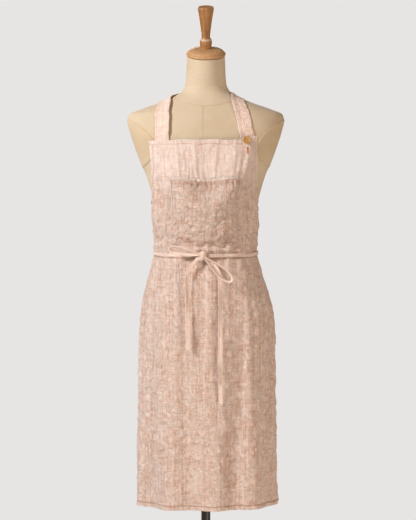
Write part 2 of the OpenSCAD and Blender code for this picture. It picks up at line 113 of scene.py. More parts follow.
# Middle lines of the two hanging ends of the waist tape
TAIL_LEFT = [[-22, -112, 1042], [-34, -115, 1028], [-43, -118, 1010], [-45, -121, 985], [-44, -124, 960],
             [-43, -127, 930], [-42, -128, 900], [-42, -128, 870], [-41, -128, 850], [-41, -128, 831]]
TAIL_RIGHT = [[0, -109, 1042], [14, -110, 1034], [26, -112, 1022], [32, -114, 1004], [34, -118, 980],
              [34, -123, 955], [34, -127, 925], [34, -129, 895], [34, -129, 865], [34, -129, 835],
              [33, -129, 805], [33, -129, 775], [34, -129, 745], [35, -129, 720], [35, -129, 703]]


# ---------------------------------------------------------------- shapes shared with the CAD
def column(table, k, h):
    """Column k of a table at heights h, on a smooth curve that never overshoots its rows."""
    x, y = table[:, 0], table[:, k]
    rise = np.diff(y) / np.diff(x)
    a, b = rise[:-1], rise[1:]
    both = np.where(a * b > 0, a + b, 1)
    m = np.concatenate([rise[:1], np.where(a * b > 0, 2 * a * b / both, 0), rise[-1:]])
    i = np.clip(np.searchsorted(x, h, side="right") - 1, 0, len(x) - 2)
    d = x[i + 1] - x[i]
    s = np.clip((h - x[i]) / d, 0, 1)
    return (y[i] * (1 + 2 * s) * (1 - s) ** 2 + m[i] * d * s * (1 - s) ** 2
            + y[i + 1] * s * s * (3 - 2 * s) + m[i + 1] * d * s * s * (s - 1))


def smooth(s):
    s = np.clip(s, 0, 1)
    return s * s * (3 - 2 * s)


def bell(v, spread):
    return np.exp(-(v / spread) ** 2)


def outline(table, h, t, off):
    n = column(table, 5, h)
    s, c = np.sin(np.radians(t)), np.cos(np.radians(t))
    x = (column(table, 1, h) + off) * np.sign(s) * np.abs(s) ** (2 / n)
    depth = np.where(c >= 0, -(column(table, 2, h) + off), column(table, 3, h) + off)
    return x, depth * np.abs(c) ** (2 / n)


def body_pt(h, t, off=0.0):
    h, t = np.broadcast_arrays(np.asarray(h, float), np.asarray(t, float))
    x, y = outline(BODY, h, t, off)
    bust = BUST_RISE * bell(h - 160, 52) * (bell(x - 68, 42) + bell(x + 68, 42))
    y = y - np.maximum(0, np.cos(np.radians(t))) * bust
    lean = NECK_TILT * smooth((h - 370) / 104)
    z = WAIST / MM + h + y * np.tan(lean)
    return np.stack([x, column(BODY, 4, h) + y, z], -1) * MM


def apron_pt(h, t, off=0.0):
    h, t = np.broadcast_arrays(np.asarray(h, float), np.asarray(t, float))
    x, y = outline(APRON, h, t, off)
    return np.stack([x, y, WAIST / MM + h], -1) * MM


def unit(v):
    return v / np.maximum(np.linalg.norm(v, axis=-1, keepdims=True), 1e-12)


def normal_of(surface, h, t):
    """Outward normal of body_pt or apron_pt."""
    across = surface(h, np.asarray(t) + 1) - surface(h, np.asarray(t) - 1)
    up = surface(np.asarray(h) + 1, t) - surface(np.asarray(h) - 1, t)
    return unit(np.cross(across, up))


def cubic(p0, p1, p2, p3, s):
    """Point at share s of a smooth curve's stretch from p1 to p2."""
    return 0.5 * (2 * p1 + (p2 - p0) * s + (2 * p0 - 5 * p1 + 4 * p2 - p3) * s ** 2
                  + (3 * p1 - p0 - 3 * p2 + p3) * s ** 3)


def run_along(points):
    """Distance along a polyline, at each of its points."""
    return np.concatenate([[0], np.cumsum(np.linalg.norm(np.diff(points, axis=0), axis=1))])


def spread_over(at, run, values):
    """Columns of values, known at distances run, at other distances."""
    return np.stack([np.interp(at, run, values[:, k]) for k in range(values.shape[1])], -1)


def resample(points, count):
    """A polyline (n, d) as count points, evenly spaced along a smooth curve through it."""
    p = np.asarray(points, float)
    fine = []
    for i in range(len(p) - 1):
        near = p[max(i - 1, 0)], p[i], p[i + 1], p[min(i + 2, len(p) - 1)]
        fine += [cubic(*near, s) for s in np.linspace(0, 1, 12, endpoint=False)]
    fine = np.array(fine + [p[-1]])
    run = run_along(fine)
    return spread_over(np.linspace(0, run[-1], count), run, fine)


# ---------------------------------------------------------------- mesh helpers
def new_mesh(name, verts, faces, material):
    mesh = bpy.data.meshes.new(name)
    mesh.from_pydata([tuple(v) for v in verts], [], faces)
    mesh.validate()
    solid = bmesh.new()
    solid.from_mesh(mesh)
    bmesh.ops.recalc_face_normals(solid, faces=solid.faces)
    solid.to_mesh(mesh)
    solid.free()
    mesh.update()
    obj = bpy.data.objects.new(name, mesh)
    bpy.context.scene.collection.objects.link(obj)
    mesh.polygons.foreach_set("use_smooth", [True] * len(mesh.polygons))
    if material:
        mesh.materials.append(material)
    return obj


def grid_faces(rows, cols, wrap=False, base=0):
    last = cols if wrap else cols - 1
    return [(base + r * cols + c, base + r * cols + (c + 1) % cols,
             base + (r + 1) * cols + (c + 1) % cols, base + (r + 1) * cols + c)
            for r in range(rows - 1) for c in range(last)]


def shell(name, outer, inner, material, wrap=False, flat=None, wear=None):
    """Closed solid between two matching grids of points, with its place in the flat cloth for the
    texture and its wear and painted light: 1 painted pale for rubbed wear and painted highlight, -1 painted
    shade."""
    rows, cols = outer.shape[:2]
    n = rows * cols
    faces = [f[::-1] for f in grid_faces(rows, cols, wrap)] + grid_faces(rows, cols, wrap, n)
    last = cols if wrap else cols - 1
    for c in range(last):
        d = (c + 1) % cols
        e = (rows - 1) * cols
        faces.append((c, d, n + d, n + c))
        faces.append((e + d, e + c, n + e + c, n + e + d))
    if not wrap:
        for r in range(rows - 1):
            a, b = r * cols, (r + 1) * cols
            faces.append((b, a, n + a, n + b))
            faces.append((a + cols - 1, b + cols - 1, n + b + cols - 1, n + a + cols - 1))
    obj = new_mesh(name, np.concatenate([outer.reshape(-1, 3), inner.reshape(-1, 3)]), faces, material)
    if flat is not None:
        place_in_cloth = obj.data.attributes.new("flat", "FLOAT_VECTOR", "POINT")
        both = np.tile(np.pad(flat.reshape(n, -1)[:, :2], ((0, 0), (0, 1))), (2, 1))
        place_in_cloth.data.foreach_set("vector", both.astype(np.float32).reshape(-1))
    if wear is not None:
        wear_and_painted_light = obj.data.attributes.new("wear", "FLOAT", "POINT")
        wear_and_painted_light.data.foreach_set("value", np.tile(wear.reshape(-1), 2).astype(np.float32))
    return obj


def tangents(points):
    return unit(np.gradient(points, axis=0))


def tube(name, paths, radius, material, sides=6):
    """Round tubes along several polylines, joined in one mesh with closed ends."""
    verts, faces = [], []
    for path in paths:
        p = np.asarray(path, float)
        tangent = tangents(p)
        side = unit(np.cross(tangent, np.array([0.31, 0.17, 0.94])))
        up = np.cross(side, tangent)
        base = len(verts)
        for i in range(len(p)):
            for k in range(sides):
                a = 2 * math.pi * k / sides
                verts.append(p[i] + radius * (math.cos(a) * side[i] + math.sin(a) * up[i]))
        faces += grid_faces(len(p), sides, True, base)
        faces.append(tuple(base + k for k in range(sides)))
        faces.append(tuple(base + (len(p) - 1) * sides + k for k in reversed(range(sides))))
    return new_mesh(name, verts, faces, material)


def ribbon(name, points, normals, width, thick, material, cols=7, crown=0.0, flat_x=0.0):
    """Flat tape along points with its faces along normals. crown bows it across its width."""
    tangent = tangents(points)
    across = unit(np.cross(tangent, normals))
    normals = np.cross(across, tangent)
    width = np.broadcast_to(width, len(points))
    q = np.linspace(-1, 1, cols)
    middle = (points[:, None] + across[:, None] * (q[None, :, None] * width[:, None, None] / 2)
              + normals[:, None] * (crown * (1 - q ** 2))[None, :, None])
    edge = (1 - 0.55 * np.abs(q) ** 6)[None, :, None] * thick / 2
    flat = np.stack(np.broadcast_arrays(flat_x + q[None] * width[:, None] / 2,
                                        run_along(points)[:, None]), -1)
    # Both long edges are painted pale, as rubbed wear and as a painted highlight where they catch the light.
    wear = np.broadcast_to(0.6 * np.abs(q) ** 8, middle.shape[:2])
    return shell(name, middle + normals[:, None] * edge, middle - normals[:, None] * edge, material,
                 flat=flat, wear=wear)


def stitch_rows(name, lines, pitch=STITCH_PITCH, length=STITCH_LENGTH, radius=STITCH_RADIUS):
    """Rows of stitches lying on a surface. Each line is its points and normals."""
    stitches = []
    lift = radius * np.array([-0.8, 0.5, 0.8, 0.5, -0.8])
    for points, normals in lines:
        run = run_along(points)
        for start in np.arange(pitch / 2, run[-1] - length, pitch):
            at = start + length * np.array([0, 0.2, 0.5, 0.8, 1])
            n = unit(spread_over(at, run, normals))
            stitches.append(spread_over(at, run, points) + n * lift[:, None])
    return tube(name, stitches, radius, STITCH, sides=5)


def join(name, parts):
    with bpy.context.temp_override(active_object=parts[0], selected_editable_objects=parts):
        bpy.ops.object.join()
    parts[0].name = name
    return parts[0]


def lathe(name, profile, material, steps=72):
    """Solid of revolution about z from (radius, height) pairs."""
    angle = np.linspace(0, 2 * math.pi, steps, endpoint=False)
    verts = [(r * math.cos(a), r * math.sin(a), z) for r, z in profile for a in angle]
    faces = grid_faces(len(profile), steps, True)
    faces += [tuple(range(steps))[::-1], tuple((len(profile) - 1) * steps + k for k in range(steps))]
    return new_mesh(name, verts, faces, material)


# ---------------------------------------------------------------- materials
class Nodes:
    """Small helper that builds a material's node tree."""

    def __init__(self, name):
        self.material = bpy.data.materials.new(name)
        self.material.use_nodes = True
        self.tree = self.material.node_tree
        self.shader = self.tree.nodes["Principled BSDF"]

    def put(self, socket, value):
        """Link an output to a socket, or set the socket to a number, a vector or a colour."""
        if isinstance(value, (int, float)):
            socket.default_value = value
        elif isinstance(value, tuple):
            socket.default_value = (*value, 1)[:len(socket.default_value)]
        elif value is not None:
            self.tree.links.new(value, socket)

    def add(self, kind, sockets=None, **settings):
        node = self.tree.nodes.new("ShaderNode" + kind)
        for key, value in settings.items():
            setattr(node, key, value)
        for key, value in (sockets or {}).items():
            self.put(node.inputs[key], value)
        return node

    def spot(self):
        return self.add("TexCoord").outputs["Object"]

    def split(self, vector):
        return self.add("SeparateXYZ", {0: vector}).outputs

    def math(self, operation, a, b=0.0, clamp=False):
        return self.add("Math", {0: a, 1: b}, operation=operation, use_clamp=clamp).outputs[0]

    def plus(self, a, b):
        return self.math("ADD", a, b)

    def times(self, a, b):
        return self.math("MULTIPLY", a, b)

    def mix(self, factor, a, b, blend="MIX"):
        return self.add("Mix", {0: factor, 6: a, 7: b}, data_type="RGBA", blend_type=blend).outputs[2]

    def scaled(self, source, scale, shift=(0, 0, 0), turn=(0, 0, 0)):
        return self.add("Mapping", {"Scale": scale, "Location": shift, "Rotation": turn,
                                    "Vector": source}).outputs[0]

    def noise(self, source, scale, detail=2.0, rough=0.5, swirl=0.0, shift=(0, 0, 0)):
        """Noise with one scale, or with a scale for each axis and a shift."""
        if isinstance(scale, tuple):
            source = self.scaled(source, scale, shift)
            scale = 1.0
        return self.add("TexNoise", {"Scale": scale, "Detail": detail, "Roughness": rough,
                                     "Distortion": swirl, "Vector": source}).outputs["Fac"]

    def ramp(self, factor, low, high):
        """0 below low, 1 above high."""
        return self.add("MapRange", {"From Min": low, "From Max": high, "Value": factor},
                        interpolation_type="SMOOTHSTEP").outputs[0]

    def stain(self, base, mask, low, high, share, tone):
        """Part of a tone laid over the base where the mask runs from low to high."""
        return self.mix(self.times(self.ramp(mask, low, high), share), base, tone)

    def bump(self, height, distance, strength=1.0, normal=None):
        return self.add("Bump", {"Distance": distance, "Strength": strength, "Height": height,
                                 "Normal": normal}).outputs[0]

    def finish(self, colour, roughness, normal=None, **constants):
        self.put(self.shader.inputs["Base Color"], colour)
        self.put(self.shader.inputs["Roughness"], roughness)
        self.put(self.shader.inputs["Normal"], normal)
        for key, value in constants.items():
            self.put(self.shader.inputs[key.replace("_", " ")], value)
        return self.material


def srgb(*screen):
    """8-bit screen colour as linear values."""
    return tuple(v / 255 / 12.92 if v / 255 <= 0.04045 else ((v / 255 + 0.055) / 1.055) ** 2.4
                 for v in screen)


def linen(name="linen", darker=1.0, worn=0.0, crumple=1.0, calm_top_painted_light=False):
    """Slub linen: white and rust threads of uneven thickness crossing, so it looks heathered."""
    m = Nodes(name)
    flat = m.add("Attribute", attribute_name="flat").outputs["Vector"]
    wear = m.add("Attribute", attribute_name="wear").outputs["Fac"]
    x, y, _ = m.split(flat)
    rust, rose, pale = srgb(212, 153, 122), srgb(243, 214, 200), srgb(255, 247, 242)
    warp = m.noise(flat, (1100, 46, 1), 3, 0.7)
    weft = m.noise(flat, (46, 1100, 1), 3, 0.7, shift=(7, 3, 0))
    slub = m.noise(flat, (360, 26, 1), 3, 0.65, shift=(2, 9, 0))
    cross_slub = m.noise(flat, (30, 340, 1), 3, 0.65, shift=(5, 1, 0))
    fleck = m.noise(flat, (300, 240, 1), 4, 0.75, shift=(3, 8, 0))
    stripe = m.noise(flat, (210, 5, 1), shift=(4, 4, 0))
    blotch = m.noise(flat, (30, 24, 1), 5, 0.7)
    base = m.mix(m.ramp(m.plus(m.times(stripe, 0.7), m.times(blotch, 0.6)), 0.5, 0.88), rose, rust)
    for mask, low, high, share, tone in (
            (warp, 0.48, 0.61, 0.78, pale), (weft, 0.48, 0.66, 0.6, pale),
            (slub, 0.54, 0.7, 0.5, pale), (cross_slub, 0.54, 0.7, 0.5, pale),
            (cross_slub, 0.46, 0.34, 0.5, rust), (fleck, 0.54, 0.7, 0.75, rust),
            (fleck, 0.46, 0.32, 0.6, pale)):
        base = m.stain(base, mask, low, high, share, tone)
    crinkle = m.noise(flat, (95, 75, 1), 5, 0.68, 1.2)
    if calm_top_painted_light:
        # Painted light: the upper bib is mixed towards one flat pale tone, standing for how the light falls
        # there, and its crinkle is calmed.
        top = m.ramp(y, 0.74, 0.82)
        base = m.mix(m.times(top, 0.42), base, srgb(232, 220, 217))
        crinkle = m.times(crinkle, m.math("SUBTRACT", 1.0, m.times(top, 0.55)))
    if worn:
        base = m.mix(worn, base, srgb(252, 232, 220))
    base = m.mix(1.0, base, (darker, darker * 0.985, darker * 0.97), "MULTIPLY")
    # Wear above 0 mixes in pale, as rubbed wear and as painted highlight; below 0 it lays painted shade in
    # dark brown.
    base = m.mix(m.ramp(wear, 0.0, 1.0), base, srgb(255, 243, 232))
    base = m.stain(base, wear, 0.0, -1.0, 0.75, srgb(160, 108, 80))
    across, down = (m.math("SINE", m.times(v, 2 * math.pi / THREAD_PITCH)) for v in (x, y))
    height = m.plus(m.times(m.times(across, down), 0.35), m.plus(warp, weft))
    height = m.plus(height, m.times(m.plus(slub, cross_slub), 1.1))
    normal = m.bump(height, 0.00035, 0.9, m.bump(crinkle, 0.0095 * crumple))
    return m.finish(base, 0.92, normal, Sheen_Weight=0.2, Sheen_Roughness=0.6)


def jersey(name, colour, worn):
    """Fine unbleached cloth stretched over the form, a little uneven in tone."""
    m = Nodes(name)
    spot = m.spot()
    grain = m.noise(spot, (1100, 1100, 260), 3, 0.7)
    cross = m.noise(spot, (230, 230, 1200), 3, 0.7)
    base = m.mix(m.ramp(m.noise(spot, 9, 4, 0.6), 0.35, 0.7), colour, worn)
    base = m.stain(base, grain, 0.4, 0.7, 0.22, srgb(250, 236, 212))
    base = m.stain(base, cross, 0.45, 0.7, 0.18, srgb(196, 164, 118))
    normal = m.bump(m.plus(grain, cross), 0.00022, 0.8)
    normal = m.bump(m.noise(spot, 70, 3), 0.0006, 0.5, normal)
    return m.finish(base, 0.93, normal, Sheen_Weight=0.15, Sheen_Roughness=0.5)


def turned_wood():
    """Waxed turned wood with grain along the leaning axis, fine turning lines, worn high spots,
    a paler cap and a pale ring between the cap and its finial."""
    m = Nodes("turned_wood")
    neck_top = (0, BODY[-1, 4] * MM, WAIST + FORM_TOP * MM)
    moved = m.scaled(m.spot(), (1, 1, 1), tuple(-v for v in neck_top))
    axis = m.scaled(moved, (1, 1, 1), turn=(-NECK_TILT, 0, 0))
    grain = m.noise(axis, (230, 230, 15), 5, 0.65, 0.8)
    streak = m.noise(axis, (70, 70, 5), 3, swirl=1.2)
    pores = m.noise(axis, (1500, 1500, 70))
    rings = m.noise(axis, (3, 3, 900))
    wear = m.noise(axis, 48, 4, 0.7)
    height = m.split(axis)[2]
    base = m.mix(m.ramp(streak, 0.3, 0.7), srgb(146, 99, 54), srgb(188, 136, 80))
    base = m.stain(base, grain, 0.42, 0.68, 0.7, srgb(122, 80, 46))
    base = m.stain(base, pores, 0.6, 0.75, 0.5, srgb(84, 54, 32))
    base = m.stain(base, wear, 0.58, 0.72, 0.55, srgb(214, 178, 136))
    base = m.stain(base, height, 0.021, 0.016, 0.38, srgb(226, 186, 142))
    from_ring = m.math("ABSOLUTE", m.math("SUBTRACT", height, 0.040))
    ring = m.math("SUBTRACT", 1.0, m.times(from_ring, 260), clamp=True)
    base = m.mix(m.times(ring, 0.75), base, srgb(214, 200, 182))
    normal = m.bump(rings, 0.0004, 0.5)
    normal = m.bump(m.plus(grain, pores), 0.00025, 0.7, normal)
    rough = m.plus(0.42, m.times(wear, 0.25))
    return m.finish(base, rough, normal, Coat_Weight=0.12, Coat_Roughness=0.35)


def plain_wood():
    m = Nodes("plain_wood")
    spot = m.spot()
    grain = m.noise(spot, (12, 160, 160), 5, 0.6, 0.6)
    pores = m.noise(spot, (60, 1400, 1400))
    base = m.mix(m.ramp(grain, 0.35, 0.7), srgb(206, 174, 128), srgb(176, 138, 92))
    base = m.stain(base, pores, 0.6, 0.75, 0.4, srgb(120, 86, 52))
    return m.finish(base, 0.62, m.bump(m.plus(grain, pores), 0.0003, 0.6))


def button_wood():
    m = Nodes("button_wood")
    spot = m.spot()
    grain = m.noise(spot, (160, 700, 900), 4, swirl=0.7)
    base = m.mix(m.ramp(grain, 0.35, 0.68), srgb(214, 172, 108), srgb(170, 122, 66))
    base = m.stain(base, m.noise(spot, (900, 900, 900), 3), 0.62, 0.74, 0.6, srgb(110, 72, 36))
    return m.finish(base, 0.38, m.bump(grain, 0.0002, 0.6), Coat_Weight=0.3, Coat_Roughness=0.25)


def black_metal():
    m = Nodes("black_metal")
    spot = m.spot()
    wear = m.noise(spot, 22, 5, 0.7)
    base = m.mix(m.ramp(wear, 0.62, 0.74), srgb(28, 25, 22), srgb(48, 43, 38))
    peel = m.bump(m.noise(spot, 700, 3), 0.00012, 0.8)
    return m.finish(base, m.plus(0.36, m.times(wear, 0.22)), peel, Coat_Weight=0.2, Coat_Roughness=0.3)


def steel():
    m = Nodes("screw_steel")
    brush = m.noise(m.spot(), (1500, 1500, 120), 3)
    base = m.mix(m.ramp(brush, 0.3, 0.7), srgb(168, 168, 172), srgb(202, 202, 204))
    return m.finish(base, m.plus(0.26, m.times(brush, 0.2)), m.bump(brush, 0.0001, 0.5), Metallic=1.0)


def black_plastic():
    m = Nodes("black_plastic")
    grain = m.noise(m.spot(), 1400)
    base = m.mix(m.ramp(grain, 0.3, 0.7), srgb(32, 31, 31), srgb(42, 41, 40))
    return m.finish(base, m.plus(0.45, m.times(grain, 0.15)), m.bump(grain, 0.00015, 0.8))


def fuzzy(name, low, high, scale=420):
    """Felt, moulded paper or sewing thread: a matt, fibrous surface between two tones."""
    m = Nodes(name)
    fibre = m.noise(m.spot(), scale, 5, 0.75, 1.5)
    base = m.mix(m.ramp(fibre, 0.3, 0.7), low, high)
    return m.finish(base, 0.95, m.bump(fibre, 0.0005, 0.7), Sheen_Weight=0.2)


LINEN = linen(calm_top_painted_light=True)
# The pocket is the apron's own linen made a little darker: painted shade.
SHADED_POCKET_LINEN = linen("pocket_linen", 0.93)
STRAP_LINEN = linen("strap_linen", 1.0, 0.35, 0.35)
TAPE_LINEN = linen("tape_linen", 0.95, 0.35, 0.2)
WAIST_LINEN = linen("waist_linen", 0.87, 0.1, 0.2)
JERSEY = jersey("jersey", srgb(206, 189, 165), srgb(196, 176, 149))
PLATE_JERSEY = jersey("plate_jersey", srgb(207, 188, 161), srgb(195, 173, 143))
SEAM = fuzzy("seam_thread", srgb(196, 166, 124), srgb(214, 186, 146), 900)
STITCH = fuzzy("stitch_thread", srgb(214, 170, 142), srgb(234, 202, 180), 1500)
BUTTONHOLE = fuzzy("buttonhole_thread", srgb(190, 120, 74), srgb(216, 150, 100), 1500)
BUTTON_WOOD = button_wood()
CAD_LOOKS = (
    (plain_wood(), ("neck_block", "finial_dowel", "base_board")),
    (turned_wood(), ("neck_cap", "cap_finial")),
    (black_metal(), ("upper_pole", "pole_flange", "lower_tube", "clamp_collar", "tube_socket", "base_plate")),
    (steel(), ("flange_screws", "clamp_screw", "base_screws")),
    (black_plastic(), ("clamp_knob", "guide_bush", "pole_end_plug", "pole_foot_plug")),
    (fuzzy("felt", srgb(70, 68, 66), srgb(104, 100, 96)), ("base_pad",)),
    (fuzzy("paper_shell", srgb(150, 118, 78), srgb(182, 150, 108), 160), ("form_body",)),
)
for look, node_names in CAD_LOOKS:
    for node_name in node_names:
        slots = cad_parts[node_name].data.materials
        slots.clear()
        slots.append(look)


# ---------------------------------------------------------------- dress form
def make_cover():
    """The jersey: one stretched skin, turned in under the bottom edge of the shell."""
    h = np.unique(np.concatenate([np.linspace(FORM_LOW, 320, 98), np.linspace(320, 410, 46),
                                  np.linspace(410, FORM_TOP, 22)]))
    t = np.linspace(0, 360, 180, endpoint=False)
    hh, tt = np.meshgrid(h, t, indexing="ij")
    spots = body_pt(hh, tt, SKIN).reshape(-1, 3)
    uneven = np.array([noise.noise(Vector(p) * 17) + 0.4 * noise.noise(Vector(p) * 45) for p in spots])
    fade = np.minimum(smooth((hh - FORM_LOW) / 40), smooth((FORM_TOP - hh) / 30))

    def turned_in(steps):
        return np.stack([body_pt(FORM_LOW, t, off) + np.array([0, 0, up * MM]) for off, up in steps])
    outer = np.concatenate([turned_in(((-9, -0.6), (-6, -1.3), (-2, -1.5), (0.6, -1.0))),
                            body_pt(hh, tt, SKIN + 0.5 * uneven.reshape(hh.shape) * fade)])
    inner = np.concatenate([turned_in(((-9, 0.2), (-6, -0.5), (-2, -0.7), (0.2, -0.2))),
                            body_pt(hh, tt, 0.3)])
    return shell("cover_skin", outer, inner, JERSEY, wrap=True)


def make_cover_seams():
    """Seams of the jersey: middle front and back, neck, sides, back darts and shoulders."""
    front = np.linspace(FORM_LOW, 352, 160)
    sine = np.clip(FRONT_SEAM / column(BODY, 1, front), 0, 1) ** (column(BODY, 5, front) / 2)
    around = np.linspace(0, 360, 200)
    back = np.linspace(FORM_LOW, 300, 140)
    shoulder = np.linspace(330, 384, 60)
    lines = [(front, -np.degrees(np.arcsin(sine))), (np.linspace(FORM_LOW, 470, 180), 180.0),
             (353 + 41 * np.sin(np.radians(around / 2)), around)]
    for side in (-1, 1):
        lines += [(np.linspace(FORM_LOW, 205, 120), side * 93.0),
                  (back, side * (146 - 10 * smooth((back + 100) / 350))),
                  (shoulder, side * (96 + 6 * smooth((shoulder - 330) / 54)))]
    return tube("cover_seams", [body_pt(h, t, SKIN + 0.1) for h, t in lines], 0.00045, SEAM)


def arm_spot(r, a, side, off):
    """Point of the armhole's oval: r from its middle, 1 at the rim, at angle a in degrees."""
    turn = np.radians(a)
    return body_pt(ARM_H + ARM_RISE * r * np.sin(turn), side * (90 + ARM_SWEEP * r * np.cos(turn)), off)


def make_arm_cover(name, side):
    """Covered oval over the armhole. It is cut a little too large, so its rim stands in a soft ridge."""
    radial = np.concatenate([np.linspace(0.02, 0.9, 16), [0.93, 0.96, 0.985, 1.0]])
    turn = side * np.linspace(0, 360, 120, endpoint=False)
    r, a = np.meshgrid(radial, turn, indexing="ij")
    lift = SKIN + 0.9 + 0.7 * bell(r - 0.95, 0.04) - 0.7 * smooth((r - 0.96) / 0.04)
    return shell(name, arm_spot(r, a, side, lift)[::-1], arm_spot(r, a, side, SKIN - 0.6)[::-1],
                 PLATE_JERSEY, wrap=True)


def make_arm_seam(name, side):
    path = arm_spot(1.0, np.linspace(0, 360, 140), side, SKIN + 0.2)
    return tube(name, [path], 0.0007, SEAM, sides=8)


# ---------------------------------------------------------------- apron cloth
class Cloth:
    """The apron panel as a grid: rows up from the hem, columns from the left edge, with its flat cut."""

    def __init__(self, rows, cols):
        self.h = np.linspace(-HEM_DROP, BIB_TOP, rows)
        self.u = np.linspace(-1, 1, cols)
        share = np.linspace(0, 1, 65)
        turn = share * column(APRON, 6, self.h)[:, None]
        edge = apron_pt(self.h[:, None], turn, CLOTH / 2)
        run = np.stack([run_along(row) for row in edge])
        self.half = run[:, -1]
        self.t = np.stack([np.sign(self.u) * np.interp(np.abs(self.u) * l, r, a)
                           for l, r, a in zip(self.half, run, turn)])
        # The bib hangs a little narrower on its buttoned side
        narrow = 0.06 * smooth((self.h - 30) / 90) + 0.035 * bell(self.h - 105, 52)
        narrow = 1 - narrow[:, None] * (self.u > 0)
        corner_pull = 0.085 * smooth((self.h - 215) / 56)[:, None] * np.maximum(0, self.u) ** 0.5
        self.t = self.t * (narrow - corner_pull)
        self.hh = np.broadcast_to(self.h[:, None], self.t.shape)
        self.start = apron_pt(self.hh, self.t, CLOTH / 2)
        up = np.linalg.norm(np.diff(self.start, axis=0), axis=2)
        climb = 0.5 * up[:, cols // 2] + 0.5 * np.diff(self.h) * MM
        ease = 1.015 + 0.06 * bell(self.h - TAPE_H, 45) + 0.03 * smooth((-60 - self.h) / 150)
        self.wide = self.half * ease
        flat_y = np.concatenate([[0], np.cumsum(climb)])
        self.flat = np.stack(np.broadcast_arrays(self.u * narrow * self.wide[:, None], flat_y[:, None]), -1)

    def cut(self):
        """Width, length and area of the flat cut."""
        length = self.flat[-1, 0, 1]
        area = np.sum((self.wide[1:] + self.wide[:-1]) * np.diff(self.flat[:, 0, 1]))
        return 2 * self.wide.max(), length, area


def torso_grid(rows, cols, off):
    """Points and outward faces of the covered torso, closed at neither end."""
    h = np.concatenate([np.linspace(FORM_LOW, 330, rows), np.linspace(330, FORM_TOP, rows // 3)[1:]])
    t = np.linspace(0, 360, cols, endpoint=False)
    hh, tt = np.meshgrid(h, t, indexing="ij")
    return body_pt(hh, tt, off).reshape(-1, 3), grid_faces(len(h), cols, True)


def make_collider(cols=64):
    """A light stand-in for the covered torso, for the cloth to fall on."""
    points, faces = torso_grid(44, cols, SKIN)
    faces += [tuple(range(cols)), tuple(range(len(points) - cols, len(points)))]
    return new_mesh("torso_collider", points, faces, None)


def drape(cloth):
    """Hang the panel by simulation. Its top edge and its row under the waist tape are held."""
    collider = make_collider()
    rows, cols = cloth.t.shape
    # Start with a light wave in the skirt, a slack top edge and a lifted buttoned corner
    sway = 3.0 * MM * np.sin(cloth.flat[..., 0] * 2 * math.pi / 0.115 + 0.7) * smooth((-20 - cloth.hh) / 220)
    start = cloth.start + normal_of(apron_pt, cloth.hh, cloth.t) * sway[..., None]
    hang = smooth((cloth.hh - 200) / 71) * (1 - cloth.u ** 2)
    start[..., 2] += hang * (2.6 + 0.8 * np.sin(cloth.u * 13)) * MM
    start[..., 2] += 11 * MM * smooth((cloth.u - 0.62) / 0.38) * smooth((cloth.hh - 215) / 56)
    start[..., 1] += hang * (0.7 * np.sin(cloth.u * 17 + 1) + 0.5 * np.sin(cloth.u * 6.1)) * MM
    obj = new_mesh("panel_drape", start.reshape(-1, 3), grid_faces(rows, cols), None)
    obj.shape_key_add(name="Basis")
    rest = obj.shape_key_add(name="cut")
    rest.data.foreach_set("co", np.pad(cloth.flat, ((0, 0), (0, 0), (0, 1))).reshape(-1))
    group = obj.vertex_groups.new(name="held")
    waist = int(np.argmin(np.abs(cloth.h - TAPE_H)))
    for r in (waist, rows - 1):
        group.add(list(range(r * cols, (r + 1) * cols)), 1.0, "REPLACE")
    sim = obj.modifiers.new("Cloth", "CLOTH")
    for key, value in (("quality", 5), ("mass", 0.25), ("tension_stiffness", 25), ("shear_stiffness", 8),
                       ("compression_stiffness", 25), ("bending_stiffness", 1.2), ("air_damping", 3),
                       ("tension_damping", 12), ("compression_damping", 12),
                       ("vertex_group_mass", "held"), ("rest_shape_key", rest)):
        setattr(sim.settings, key, value)
    sim.collision_settings.distance_min = 0.0015
    sim.collision_settings.collision_quality = 2
    sim.collision_settings.use_self_collision = False
    collider.modifiers.new("Collision", "COLLISION")
    collider.collision.thickness_outer = 0.002
    collider.collision.cloth_friction = 8
    scene = bpy.context.scene
    sim.point_cache.frame_end = SIM_FRAMES
    for step in range(SIM_FRAMES):
        scene.frame_set(step + 1)
    bpy.context.view_layer.update()
    evaluated = obj.evaluated_get(bpy.context.evaluated_depsgraph_get())
    out = np.zeros(rows * cols * 3)
    evaluated.data.vertices.foreach_get("co", out)
    scene.frame_set(1)
    bpy.data.objects.remove(obj)
    bpy.data.objects.remove(collider)
    return out.reshape(rows, cols, 3)


def lift_clear(points, tree, least):
    """Move points out so that each is at least that far outside a solid."""
    flatten = points.reshape(-1, 3).copy()
    least = np.broadcast_to(least, points.shape[:-1]).reshape(-1)
    for i, p in enumerate(flatten):
        spot, normal, _, _ = tree.find_nearest(Vector(p), 0.03)
        if spot is None:
            continue
        away = (Vector(p) - spot).dot(normal)
        if away < least[i]:
            flatten[i] = p + np.array(normal) * (least[i] - away)
    return flatten.reshape(points.shape)


def refine(grid, rows_at, cols_at):
    """A grid of points at finer row and column positions, along smooth curves both ways."""
    def stretch(a, x):
        n = len(a)
        i = np.clip(x.astype(int), 0, n - 2)
        s = (x - i)[:, None, None]
        p1, p2 = a[i], a[i + 1]
        p0 = np.where((i > 0)[:, None, None], a[np.maximum(i - 1, 0)], 2 * p1 - p2)
        p3 = np.where((i < n - 2)[:, None, None], a[np.minimum(i + 2, n - 1)], 2 * p2 - p1)
        return cubic(p0, p1, p2, p3, s)
    return stretch(stretch(grid, rows_at).transpose(1, 0, 2), cols_at).transpose(1, 0, 2)


def grid_normals(p):
    across = np.gradient(p, axis=1)
    up = np.gradient(p, axis=0)
    return unit(np.cross(across, up))


def noise_map(flat, fx, fy, seed, octaves=3):
    """Fractal noise over flat coordinates in metres, fx and fy waves to the metre."""
    out = np.empty(flat.shape[:-1])
    for index in np.ndindex(out.shape):
        x, y = flat[index][0], flat[index][1]
        out[index] = noise.fractal(Vector((x * fx, y * fy, seed)), 1.0, 2.0, octaves)
    return out


